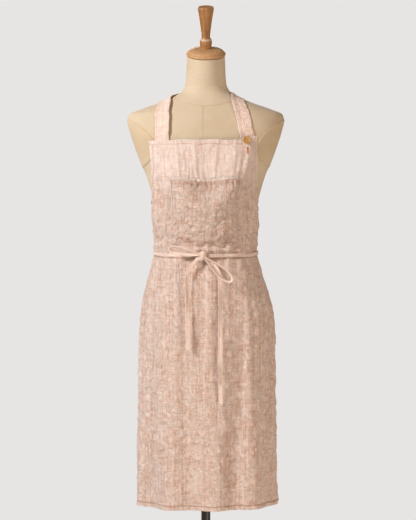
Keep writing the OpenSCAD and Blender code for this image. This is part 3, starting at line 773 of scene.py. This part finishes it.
def rumples(flat):
    """Soft dents and sharp little creases that worn linen keeps, in metres."""
    soft = noise_map(flat, 16, 11, 3.1, 2)
    small = noise_map(flat, 42, 34, 7.7, 3)
    crease = 1 - np.abs(noise_map(flat, 15, 24, 12.3, 2))
    fine = 1 - np.abs(noise_map(flat, 36, 22, 21.9, 2))
    low = 0.6 + 0.75 * smooth((0.50 - flat[..., 1]) / 0.3)
    sharp = 1.5 * smooth((crease - 0.8) / 0.2) + 0.9 * smooth((fine - 0.82) / 0.18)
    return low * (1.7 * soft + 1.3 * small + sharp) * MM


# Rows of the mesh near an edge, in millimetres from it
HEM_LINES = np.array([0, 1, 2.5, 4.5, 6.5, 7.6, 8.4, 9.2, 10, 11, 12.5, 15])


def near_edge(distance):
    """1 on the folded hem, 0 inside it."""
    return 1 - smooth((distance - HEM + 0.0006) / 0.0012)


class Surface:
    """The finished panel's outer face, to lay pockets, stitches and folds on."""

    def __init__(self, outer, h, u, wide):
        self.outer, self.normal = outer, grid_normals(outer)
        self.h, self.u, self.wide = h, u, wide

    def at(self, x, h):
        """Point and normal at x metres from the middle and h millimetres above the waist."""
        x, h = np.broadcast_arrays(np.asarray(x, float), np.asarray(h, float))
        r = np.clip(np.interp(h, self.h, np.arange(len(self.h))), 0, len(self.h) - 1.001)
        u = x / np.interp(h, self.h, self.wide)
        c = np.clip(np.interp(u, self.u, np.arange(len(self.u))), 0, len(self.u) - 1.001)
        i, j = r.astype(int), c.astype(int)
        a, b = (r - i)[..., None], (c - j)[..., None]

        def pick(g):
            return ((g[i, j] * (1 - b) + g[i, j + 1] * b) * (1 - a)
                    + (g[i + 1, j] * (1 - b) + g[i + 1, j + 1] * b) * a)
        return pick(self.outer), unit(pick(self.normal))


def designed_folds(flat, h, u):
    """The folds that the tape, the knot and ironing leave: out is positive, in metres."""
    x = flat[..., 0]
    drop = smooth((-10 - h) / 30) * (1 - smooth((-90 - h) / 260))
    knot_fold = drop * (3.4 * bell(x - 0.014, 0.013) - 4.5 * bell(x + 0.006, 0.009)
                        + 2.2 * bell(x + 0.03, 0.014))
    wave = np.sin(x * 2 * math.pi / 0.031 + 2.1 * np.sin(x * 23))
    gathers = 1.5 * wave * (bell(h - 20, 15) + bell(h + 18, 17))
    pressed = sum(bell(h - level + 7 * np.sin(x * 9 + level), 2.6)
                  * (0.525 + 0.975 * np.sin(x * 11 + level) ** 2)
                  for level in (-98, -148, -205, -262, -305, -352, -431, -478, -520))
    hip = 6.0 * smooth((-50 - h) / 110) * smooth((x - 0.07) / 0.09) * (1 - smooth((x - 0.27) / 0.05))
    long_lines = (0.8 * bell(x - 0.128, 0.003) * smooth((-150 - h) / 60)
                  + 0.6 * bell(x + 0.098, 0.003) * smooth((-90 - h) / 60))
    puckers = np.sin(h * 0.42 + 2 * np.sin(h * 0.11)) * smooth((np.abs(u) - 0.86) / 0.14)
    side = 1.6 * puckers * bell(h - 130, 60) + 0.6 * puckers * smooth((-20 - h) / 100)
    return (knot_fold + gathers + pressed + hip + long_lines + side) * MM


def press_back(points, routes, gap):
    """Keep the panel's front behind the hanging tapes, as their weight and the knot press it."""
    out = points.copy()
    for route in routes:
        for x, y, z in resample(np.array(route) * MM, 60):
            share = 1 - smooth((np.hypot(out[..., 0] - x, out[..., 2] - z) - 0.006) / 0.012)
            buried = out[..., 1] < min(y + gap, 0)
            out[..., 1] += np.where(buried, (y + gap - out[..., 1]) * share, 0)
    return out


def make_panel(cloth, tree):
    """The linen panel with its rumples and turned hems. Returns it with the surface that it shows."""
    middle = drape(cloth)
    rows, cols = cloth.t.shape
    pitch = (HEM_DROP + BIB_TOP) / (rows - 1)
    between = np.linspace(18 / pitch, rows - 1 - 18 / pitch, 205)
    rows_at = np.concatenate([HEM_LINES / pitch, between, rows - 1 - HEM_LINES[::-1] / pitch])
    near_side = np.linspace(0, 0.1, 22)
    across = np.concatenate([near_side, np.linspace(0.1, 1.9, 122)[1:-1], 2 - near_side[::-1]])
    cols_at = across / 2 * (cols - 1)
    middle = refine(middle, rows_at, cols_at)
    flat = refine(cloth.flat, rows_at, cols_at)
    h = np.interp(rows_at, np.arange(rows), cloth.h)
    u = np.interp(cols_at, np.arange(cols), cloth.u)
    wide = np.interp(h, cloth.h, cloth.wide)
    hh, uu = np.meshgrid(h, u, indexing="ij")
    calm = 0.35 + 0.65 * smooth((np.abs(hh - TAPE_H) - 6) / 25)
    # Under the tape the cloth is pressed flat, and in the strap's way it stands clear
    push = rumples(flat) * calm + designed_folds(flat, hh, uu)
    middle = middle + grid_normals(middle) * push[..., None]
    strap_zone = smooth((hh - 232) / 16) * smooth((np.abs(flat[..., 0]) - 0.055) / 0.02)
    least = np.where(hh > -270, (0.9 + 4.6 * strap_zone) * MM, -1)
    middle = press_back(middle, (TAIL_LEFT, TAIL_RIGHT), 0.0062)
    middle = lift_clear(middle, tree, least)
    # Turned hems: thicker, puckered by their stitches, with a groove along the inner fold
    side = (1 - np.abs(uu)) * wide[:, None]
    ends = np.minimum(flat[..., 1], flat[-1, 0, 1] - flat[..., 1])
    edge = np.minimum(side, ends)
    along = flat[..., 0] * (ends < side) + flat[..., 1] * (ends >= side)
    pucker = 0.22 * np.sin(along * 2 * math.pi / 0.0072 + 1.5 * np.sin(along * 310))
    hem = near_edge(edge)
    groove = bell(edge - 0.0098, 0.0014)
    lift = (0.42 + hem * (1.3 + 1.8 * pucker) - 0.9 * groove) * MM
    n = grid_normals(middle)
    outer = middle + n * lift[..., None]
    inner = middle - n * ((0.42 + 0.3 * hem) * MM)[..., None]
    # Painted shade: the groove along each hem's inner fold is darkened, more so towards the bottom.
    groove_shade = 0.22 + 0.6 * smooth((-300 - hh) / 250)
    # The outer 3.5 mm of every edge is painted pale, as rubbed wear and as a painted highlight where the edge
    # catches the light; a faint pale line runs 7 mm in.
    wear = 0.5 * smooth(1 - edge / 0.0035) - groove_shade * groove + 0.2 * bell(edge - 0.0072, 0.0014)
    # Painted shade: dark bands on the cloth just under and just above the waist tape.
    wear = wear - 0.6 * bell(hh + 4.5, 2.4) - 0.1 * bell(hh - 8.5, 3.0)
    panel = shell("apron_linen", outer, inner, LINEN, flat=flat, wear=wear)
    return panel, Surface(outer, h, u, wide)


def make_hem_stitches(surface):
    """Topstitching a little way in from every edge."""
    inset = 8.4
    h = np.linspace(-HEM_DROP + 9, BIB_TOP - 9, 500)
    x = np.interp(h, surface.h, surface.wide) - inset * MM
    across = np.linspace(-1, 1, 300)
    low = across * (surface.wide[0] - inset * MM)
    top = across * (surface.wide[-1] - inset * MM)
    lines = [surface.at(x, h), surface.at(-x, h), surface.at(low, -HEM_DROP + inset),
             surface.at(top, BIB_TOP - inset)]
    return stitch_rows("hem_stitches", lines)


# ---------------------------------------------------------------- pocket
def make_pocket(surface):
    """Patch pocket sewn down on three sides, its top hem sagging a little in the middle, and its seams."""
    to_side, to_top = HEM_LINES / 82, HEM_LINES / 160
    x = np.unique(np.concatenate([np.linspace(-1, 1, 91), 1 - to_side, to_side - 1]))
    v = np.unique(np.concatenate([np.linspace(0, 1, 91), 1 - to_top * 1.25, to_top * 0.8]))
    vv, xx = np.meshgrid(v, x, indexing="ij")
    px = xx * POCKET_HALF * (1.0 + 0.006 * np.sin(vv * 9)) + 0.001
    sag = (1.5 * (1 - xx ** 2) - 1.2 * xx) * vv ** 6
    ph = POCKET_LOW + (POCKET_TOP - POCKET_LOW) * vv - sag
    flat = np.stack([px + 0.9, (ph - POCKET_LOW) * MM + 0.31], -1)
    side, low, top = (1 - np.abs(xx)) * POCKET_HALF, vv * POCKET_RUN, (1 - vv) * POCKET_RUN
    sewn = np.minimum(side, low)
    inside = smooth(side / 0.016) * smooth(low / 0.02)
    crumple = noise_map(flat, 52, 60, 5.5, 3)
    crease = smooth((1 - np.abs(noise_map(flat, 34, 52, 31.0, 2)) - 0.8) / 0.2)
    low_zone = 0.6 + 1.4 * bell(vv - 0.25, 0.25)
    puff = inside * (1.6 + 1.6 * bell(vv - 1, 0.25) + (1.6 * crumple + 0.9 * crease) * low_zone)
    square = smooth(side / 0.003)
    roll = 3.2 * square * smooth(top / 0.0052) * (1 - smooth((top - 0.0052) / 0.008))
    teeth = np.sin(px * 2 * math.pi / 0.0105 + 3.2 * np.sin(px * 90) + 1.7 * np.sin(px * 210 + 1))
    pucker = bell(top - 0.0135, 0.0052) * (1.1 * teeth - 0.6) * inside
    # Painted highlight along the pocket's rolled top edge, and painted shade, uneven with the puckers, in the
    # band under its top hem.
    wear = square * (0.9 * smooth(1 - (top - 0.0022) / 0.0022)
                     + bell(top - 0.0125, 0.0065) * (0.14 * teeth - 0.34))
    # Painted shade along the step just inside the seams, and a paler line along the sewn-down edges.
    wear = wear - 0.35 * bell(sewn - 0.0048, 0.0012) + 0.4 * bell(sewn, 0.0016)
    off = 1.1 + np.maximum(0, puff + pucker) + roll + 0.5 * near_edge(sewn + 0.0045)
    outer, n = surface.at(px, ph)
    outer = outer + n * (off * MM)[..., None]
    inner = outer - n * ((0.7 + 0.3 * near_edge(top * 0.8) * square) * MM)[..., None]
    pocket = shell("pocket_linen", outer, inner, SHADED_POCKET_LINEN, flat=flat, wear=wear)
    inset = 0.0052
    left, right = (int(np.argmin(np.abs(x - s * (1 - inset / POCKET_HALF)))) for s in (-1, 1))
    bottom = int(np.argmin(np.abs(v - inset / POCKET_RUN)))
    under_hem = int(np.argmin(np.abs(v - (1 - 0.0138 / POCKET_RUN))))
    seams = ((slice(bottom, None), left), (slice(bottom, None), right), (bottom, slice(left, right)),
             (under_hem, slice(None)))
    return pocket, stitch_rows("pocket_stitches", [(outer[seam], n[seam]) for seam in seams], 0.0032, 0.0022)


# ---------------------------------------------------------------- neck strap and tapes
def make_strap(tree):
    """Doubled band from the left bib corner round the back of the neck to the button."""
    route = resample(STRAP, 400)
    raw = body_pt(route[:, 0], route[:, 1], SKIN + 1.5)
    raw_run = run_along(raw)
    run = np.linspace(0, raw_run[-1], 330)
    points = spread_over(run, raw_run, raw)
    normals = unit(spread_over(run, raw_run, normal_of(body_pt, route[:, 0], route[:, 1])))
    across = unit(np.cross(tangents(points), normals))
    normals = np.cross(across, tangents(points))
    q = np.linspace(-1, 1, 25)
    half = STRAP_WIDTH / 2 * MM
    flat = np.stack(np.broadcast_arrays(q[None] * half + 2.3, run[:, None]), -1)
    middle = points[:, None] + across[:, None] * (q[None, :, None] * half)
    crease = smooth((1 - np.abs(noise_map(flat, 14, 46, 40.2, 2)) - 0.84) / 0.16)
    dent = 0.5 * noise_map(flat, 40, 22, 9.4, 3) + 0.5 * crease
    # One edge stands off the chest near both ends
    left = run[-1] - run
    stands = (4.6 * smooth((run - 0.012) / 0.02) * (1 - smooth((run - 0.15) / 0.05))
              + 2.4 * smooth((left - 0.06) / 0.02) * (1 - smooth((left - 0.15) / 0.05)))
    raised = stands[:, None] * smooth((q[None] - 0.1) / 0.9)
    middle = lift_clear(middle + normals[:, None] * ((dent + raised) * MM)[..., None], tree, 1.05 * MM)
    rim = np.abs(q)
    thick = (0.72 + 0.3 * bell(rim - 0.93, 0.05) - 0.22 * bell(rim - 0.84, 0.03)) * (1 - 0.6 * rim ** 60) * MM
    n = grid_normals(middle)
    n = n * np.sign(np.sum(n * normals[:, None], -1, keepdims=True))
    outer = middle + n * thick[None, :, None]
    strap = shell("neck_band", outer, middle - n * (0.8 * thick[None, :, None]), STRAP_LINEN, flat=flat)
    lines = [(outer[:, i], n[:, i]) for i in (2, 22)]
    return strap, stitch_rows("band_stitches", lines, radius=0.00023), run[-1]


def make_tape(name, side, first, lift):
    """Waist tape from the knot round to the far edge of the panel, on its side of the body."""
    a = np.linspace(first, 198, 240)
    n = normal_of(apron_pt, np.full_like(a, TAPE_H), side * a)
    p = apron_pt(TAPE_H + 0.5 * np.sin(a * 0.21) + 0.4 * np.sin(a * 0.083 + 1), side * a)
    p += n * ((3.5 + lift * smooth((a - 125) / 20)) * MM)[:, None]
    near = smooth((19 - a) / 16)
    p[:, 1] += (KNOT[1] + 0.004 - p[:, 1]) * near
    p[:, 2] += (KNOT[2] - p[:, 2]) * near
    roll = np.radians(9 * np.sin(a * 0.05 + side))[:, None]
    n = unit(n * np.cos(roll) + UP * np.sin(roll))
    return ribbon(name, p, n, 0.0086, TAPE_THICK, WAIST_LINEN, cols=9, crown=0.0005, flat_x=1.1 * side + 4)


def make_knot(ends):
    """The half-hitched tape: a bundle with one turn of tape over it and its two ends coming out below."""
    v, a = np.meshgrid(np.linspace(0.02, math.pi - 0.02, 30), np.linspace(0, 2 * math.pi, 44, endpoint=False),
                       indexing="ij")
    away = np.stack([np.cos(v), np.sin(v) * np.sin(a), np.sin(v) * np.cos(a)], -1)
    ridges = 0.09 * np.sin(7 * a + 3 * np.cos(v)) * np.sin(v) + 0.07 * np.sin(4 * v + 2 * a)
    p = (KNOT + away * (np.array([11.0, 7.0, 9.6]) * MM) * (1 + ridges)[..., None])[:, ::-1]
    flat = np.stack([a * 0.006 + 6, v * 0.006], -1)[:, ::-1]
    bundle = shell("knot_bundle", p, p * 0.999 + KNOT * 0.001, TAPE_LINEN, True, flat)
    w = np.linspace(-0.6, 2 * math.pi + 0.2, 70)
    lean = math.radians(18)
    circle = np.stack([np.sin(w) * 0.0100 * math.sin(lean), -np.cos(w) * 0.0084,
                       np.sin(w) * 0.0110 * math.cos(lean)], -1)
    way = KNOT + np.array([0.0006, -0.0004, 0]) + circle * (1 + 0.04 * w / 6)[:, None]
    parts = [bundle, ribbon("knot_turn", way, unit(circle), 0.0095, TAPE_THICK, TAPE_LINEN, cols=9,
                            crown=0.0007, flat_x=8)]
    down = np.linspace(0, 1, 40)
    for k, end in enumerate(ends):
        last, after = np.array(end[0]) * MM, np.array(end[1]) * MM
        leave = KNOT + np.array([0.5 * (last[0] - KNOT[0]), -0.0035, -0.002])
        way = resample([KNOT, leave, last, last + 0.35 * (after - last)], 40)
        facing = unit(np.stack([np.full(40, 0.25 if k else -0.25), -np.ones(40), 0.5 - 0.5 * down], -1))
        parts.append(ribbon(f"knot_end_{k}", way, facing, 0.0084, TAPE_THICK, TAPE_LINEN, cols=9,
                            crown=0.0005, flat_x=7 + k))
    return join("bow_knot_tape", parts)


def make_loop(name, root, tip, half_height, open_y, face, flat_x):
    """One loop of the bow from the knot at root to its rounded tip, narrow where it leaves the knot."""
    root, tip = np.array(root), np.array(tip)
    w = np.linspace(0.16, 2 * math.pi - 0.16, 120)
    reach = (1 - np.cos(w)) / 2
    swell = np.sin(w) * np.sin(w / 2) ** 1.5 * MM
    above = unit(np.cross(unit(tip - root), BACK))
    above = above * np.sign(above[2])
    points = (root + (tip - root) * reach[:, None] + above * (half_height * swell)[:, None]
              + BACK * (open_y * swell)[:, None])
    inward = unit(np.cross(tangents(points), BACK))
    centre = root + (tip - root) * 0.62
    inward = inward * np.sign(np.sum(inward * (centre - points), -1, keepdims=True) + 1e-9)
    n = unit(inward * (1 - face) - BACK * face)
    width = 0.0092 - 0.0030 * bell(w - w[0], 0.6) - 0.0030 * bell(w - w[-1], 0.6)
    return ribbon(name, points, n, width, TAPE_THICK, TAPE_LINEN, cols=9, crown=0.0004, flat_x=flat_x)


def make_tail(name, node, route, twists, flat_x):
    """Hanging end of the waist tape, a flat limp cord that turns a little as it falls. Each twist is
    its place along the tail, its spread and its angle."""
    points = resample(np.array(route) * MM, 150)
    run = np.linspace(0, 1, 150)
    angle = sum(turn * bell(run - middle, spread) for middle, spread, turn in twists) * smooth(run / 0.1)
    n = np.stack([np.sin(angle), -np.cos(angle), np.zeros_like(run)], -1)
    width = 0.0095 - 0.0018 * bell(run - 0.05, 0.08)
    tail = ribbon(name, points, n, width, 0.0012, TAPE_LINEN, cols=11, crown=-0.0006, flat_x=flat_x)
    place(tail, "linen", node)


# ---------------------------------------------------------------- button
def make_button(spot, normal):
    """Two-hole turned wooden button with a rounded rim and a dished face, sewn on with three strands."""
    profile = [(0.0001, 0.0006), (0.006, 0.0006), (0.0085, 0.0009), (0.0096, 0.0016), (0.01, 0.0026),
               (0.0097, 0.0036), (0.009, 0.0042), (0.0082, 0.0043), (0.0075, 0.0040), (0.0068, 0.0034),
               (0.005, 0.0031), (0.0001, 0.0031)]
    disc = lathe("button_disc", profile, BUTTON_WOOD)
    drills = [lathe("button_drill", [(0.00095, -0.002), (0.00095, 0.008)], BUTTON_WOOD, 20) for _ in range(2)]
    for drill, sign in zip(drills, (-1, 1)):
        drill.location.x = BUTTON_HOLE * sign
        cut = disc.modifiers.new("hole", "BOOLEAN")
        cut.operation = "DIFFERENCE"
        cut.object = drill
    bpy.context.view_layer.update()
    mesh = bpy.data.meshes.new_from_object(disc.evaluated_get(bpy.context.evaluated_depsgraph_get()))
    disc.modifiers.clear()
    disc.data = mesh
    for drill in drills:
        bpy.data.objects.remove(drill)
    w = np.linspace(0, 1, 14)
    arch = 0.0026 + 0.0012 * np.sin(math.pi * w) ** 0.5
    strands = [np.stack([BUTTON_HOLE * (2 * w - 1), np.full(14, 0.0005 * k), arch], -1) for k in (-1, 0, 1)]
    strands.append(np.stack([0 * w, 0 * w, -0.0012 + 0.002 * w], -1))
    thread = tube("button_stitch", strands, 0.00034, BUTTONHOLE, sides=7)
    for obj in (disc, thread):
        obj.rotation_euler = Vector(normal).to_track_quat("Z", "Y").to_euler()
        obj.location = Vector(spot)
    return disc, thread


def make_buttonhole(surface, x, low, high):
    """Upright buttonhole: a slit between two rows of close stitches, barred at both ends."""
    stitches = []
    w = np.linspace(0, 1, 5)
    for h in np.arange(low, high, 0.62):
        for side in (-1, 1):
            p, n = surface.at(x + side * (0.0003 + 0.0019 * w), h + 0.15 * w)
            stitches.append(p + n * (0.0001 + 0.00035 * np.sin(math.pi * w))[:, None])
    for h in (low - 0.5, high + 0.4):
        p, n = surface.at(x + 0.0022 * np.linspace(-1, 1, 9), h)
        stitches.append(p + n * 0.0003)
    return tube("buttonhole_edge", stitches, 0.00032, BUTTONHOLE)


# ---------------------------------------------------------------- camera, light and stage
def aimed(obj, spot, target):
    """Put a camera or a lamp at a spot, facing the target."""
    obj.location = spot
    obj.rotation_euler = (Vector(target) - Vector(spot)).to_track_quat("-Z", "Y").to_euler()
    bpy.context.scene.collection.objects.link(obj)
    return obj


def set_stage():
    scene = bpy.context.scene
    scene.view_settings.view_transform = "Standard"
    scene.view_settings.look = "None"
    camera = aimed(bpy.data.objects.new("camera", bpy.data.cameras.new("camera")),
                   (0.0053, -CAMERA_AWAY, 1.29), (0.0053, 0, 1.0355))
    camera.data.sensor_width = 36
    camera.data.lens = 36 * CAMERA_AWAY / VIEW_HEIGHT
    scene.camera = camera
    # The world lights the object with a warm sky, and the camera sees it as pale paper
    world = bpy.data.worlds.new("studio")
    world.use_nodes = True
    scene.world = world
    tree = world.node_tree
    sky = tree.nodes["Background"]
    sky.inputs["Color"].default_value = (1.0, 0.83, 0.69, 1)
    sky.inputs["Strength"].default_value = 0.30
    paper = tree.nodes.new("ShaderNodeBackground")
    paper.inputs["Color"].default_value = (*srgb(231, 229, 228), 1)
    seen = tree.nodes.new("ShaderNodeLightPath")
    either = tree.nodes.new("ShaderNodeMixShader")
    for k, socket in enumerate((seen.outputs["Is Camera Ray"], sky.outputs[0], paper.outputs[0])):
        tree.links.new(socket, either.inputs[k])
    tree.links.new(either.outputs[0], tree.nodes["World Output"].inputs["Surface"])
    for name, spot, target, size, power, colour in (
            ("key", (-2.35, -1.6, 2.6), (0, 0, 1.0), 0.6, 101, (1.0, 0.985, 0.965)),
            ("fill", (2.3, -2.8, 0.2), (0, 0, 0.45), 1.6, 56, (1.0, 0.83, 0.67)),
            ("back_fill", (-0.6, 3.4, 2.0), (0, 0, 1.0), 1.8, 75, (1.0, 0.95, 0.9))):
        lamp = aimed(bpy.data.objects.new(name, bpy.data.lights.new(name, "AREA")), spot, target)
        lamp.data.shape = "DISK"
        lamp.data.size = size
        lamp.data.energy = power
        lamp.data.color = colour
    m = Nodes("floor_paint")
    tone = m.mix(m.ramp(m.noise(m.spot(), 2.2, 3), 0.3, 0.7), srgb(216, 215, 214), srgb(222, 221, 220))
    paint = m.finish(tone, 0.9, m.bump(m.noise(m.spot(), 60, 3), 0.0006, 0.5))
    disc = [(0.0001, -0.03), (1.68, -0.03), (1.7, -0.024), (1.7, -0.003), (1.697, 0), (0.0001, 0)]
    lathe("studio_floor", disc, paint, 128)


# ---------------------------------------------------------------- build
def place(obj, slot, *nodes):
    """Let a piece ride on the form, in place of the nodes that it shows. Its material slot is not used."""
    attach(obj, "form")
    if nodes:
        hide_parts(*nodes)
    return obj


def lay(obj, node, flat, held, rests_on, **more):
    """A piece of linen, in place of its node. Its flat size in metres is not used."""
    place(obj, "linen", node)


set_stage()
make_tail("tie_end_left", "tie_tail_left", TAIL_LEFT, [(0.38, 0.22, 0.8)], 9.3)
make_tail("tie_end_right", "tie_tail_right", TAIL_RIGHT, [(0.33, 0.18, 0.7), (0.8, 0.06, 1.2)], 9.9)

cover = place(make_cover(), "jersey", "form_cover")
place(make_cover_seams(), "jersey")
for side, sign in (("left", -1), ("right", 1)):
    place(make_arm_cover(f"arm_cover_{side}", sign), "jersey", f"arm_plate_{side}")
    place(make_arm_seam(f"arm_seam_{side}", sign), "jersey")

cloth = Cloth(100, 85)
skin_points, skin_faces = torso_grid(110, 144, SKIN + 0.3)
skin_tree = BVHTree.FromPolygons([tuple(p) for p in skin_points], skin_faces)
panel, face = make_panel(cloth, skin_tree)
place(make_hem_stitches(face), "thread")
cut_width, cut_length, cut_area = cloth.cut()
lay(panel, "apron_panel", (cut_width, cut_length), "hung", cover.name, area=cut_area,
    with_pieces=["hem_stitches"])
pocket, pocket_stitches = make_pocket(face)
place(pocket_stitches, "thread")
lay(pocket, "bib_pocket", (2 * POCKET_HALF, 0.172), "laid", panel.name, with_pieces=["pocket_stitches"])
band, band_stitches, band_length = make_strap(skin_tree)
place(band_stitches, "thread")
lay(band, "neck_strap", (STRAP_WIDTH * MM, round(band_length, 3)), "draped", cover.name,
    with_pieces=["band_stitches"])

# The right tape crosses over the left one at the back
for side, sign, first, lift in (("left", -1, 3, 0), ("right", 1, 1, 2.2)):
    tape = make_tape(f"waist_tape_{side}", sign, first, lift)
    lay(tape, f"waist_tie_{side}", (TAPE_WIDTH, 0.40), "stretched", panel.name)
place(make_knot((TAIL_LEFT, TAIL_RIGHT)), "linen", "bow_knot")
for side, length, shape in (
        ("left", 0.15, ((-0.013, -0.115, 1.0545), (-0.0835, -0.113, 1.0690), 10, -4, 0.5, 11)),
        ("right", 0.16, ((-0.005, -0.116, 1.0500), (0.0600, -0.123, 0.9940), 15, 2.5, 0.35, 12))):
    lay(make_loop(f"bow_{side}", *shape), f"bow_loop_{side}", (TAPE_WIDTH, length), "folded", panel.name)

# The button goes where the cloth is nearest to the CAD's button
low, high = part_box("strap_button")
centre = np.array((low + high) / 2)
tries = np.linspace(0.05, cloth.half[-1], 200)
found, _ = face.at(tries, 264.0)
button_x = float(tries[np.argmin(np.linalg.norm((found - centre)[:, :2], axis=1))])
button_spot, _ = face.at(button_x, 266.5)
button, button_thread = make_button(button_spot, normal_of(apron_pt, 266.0, 28.0))
place(button, "button_wood", "strap_button")
place(button_thread, "thread", "button_thread")
place(make_buttonhole(face, button_x + 0.0015, 240, 252), "thread")
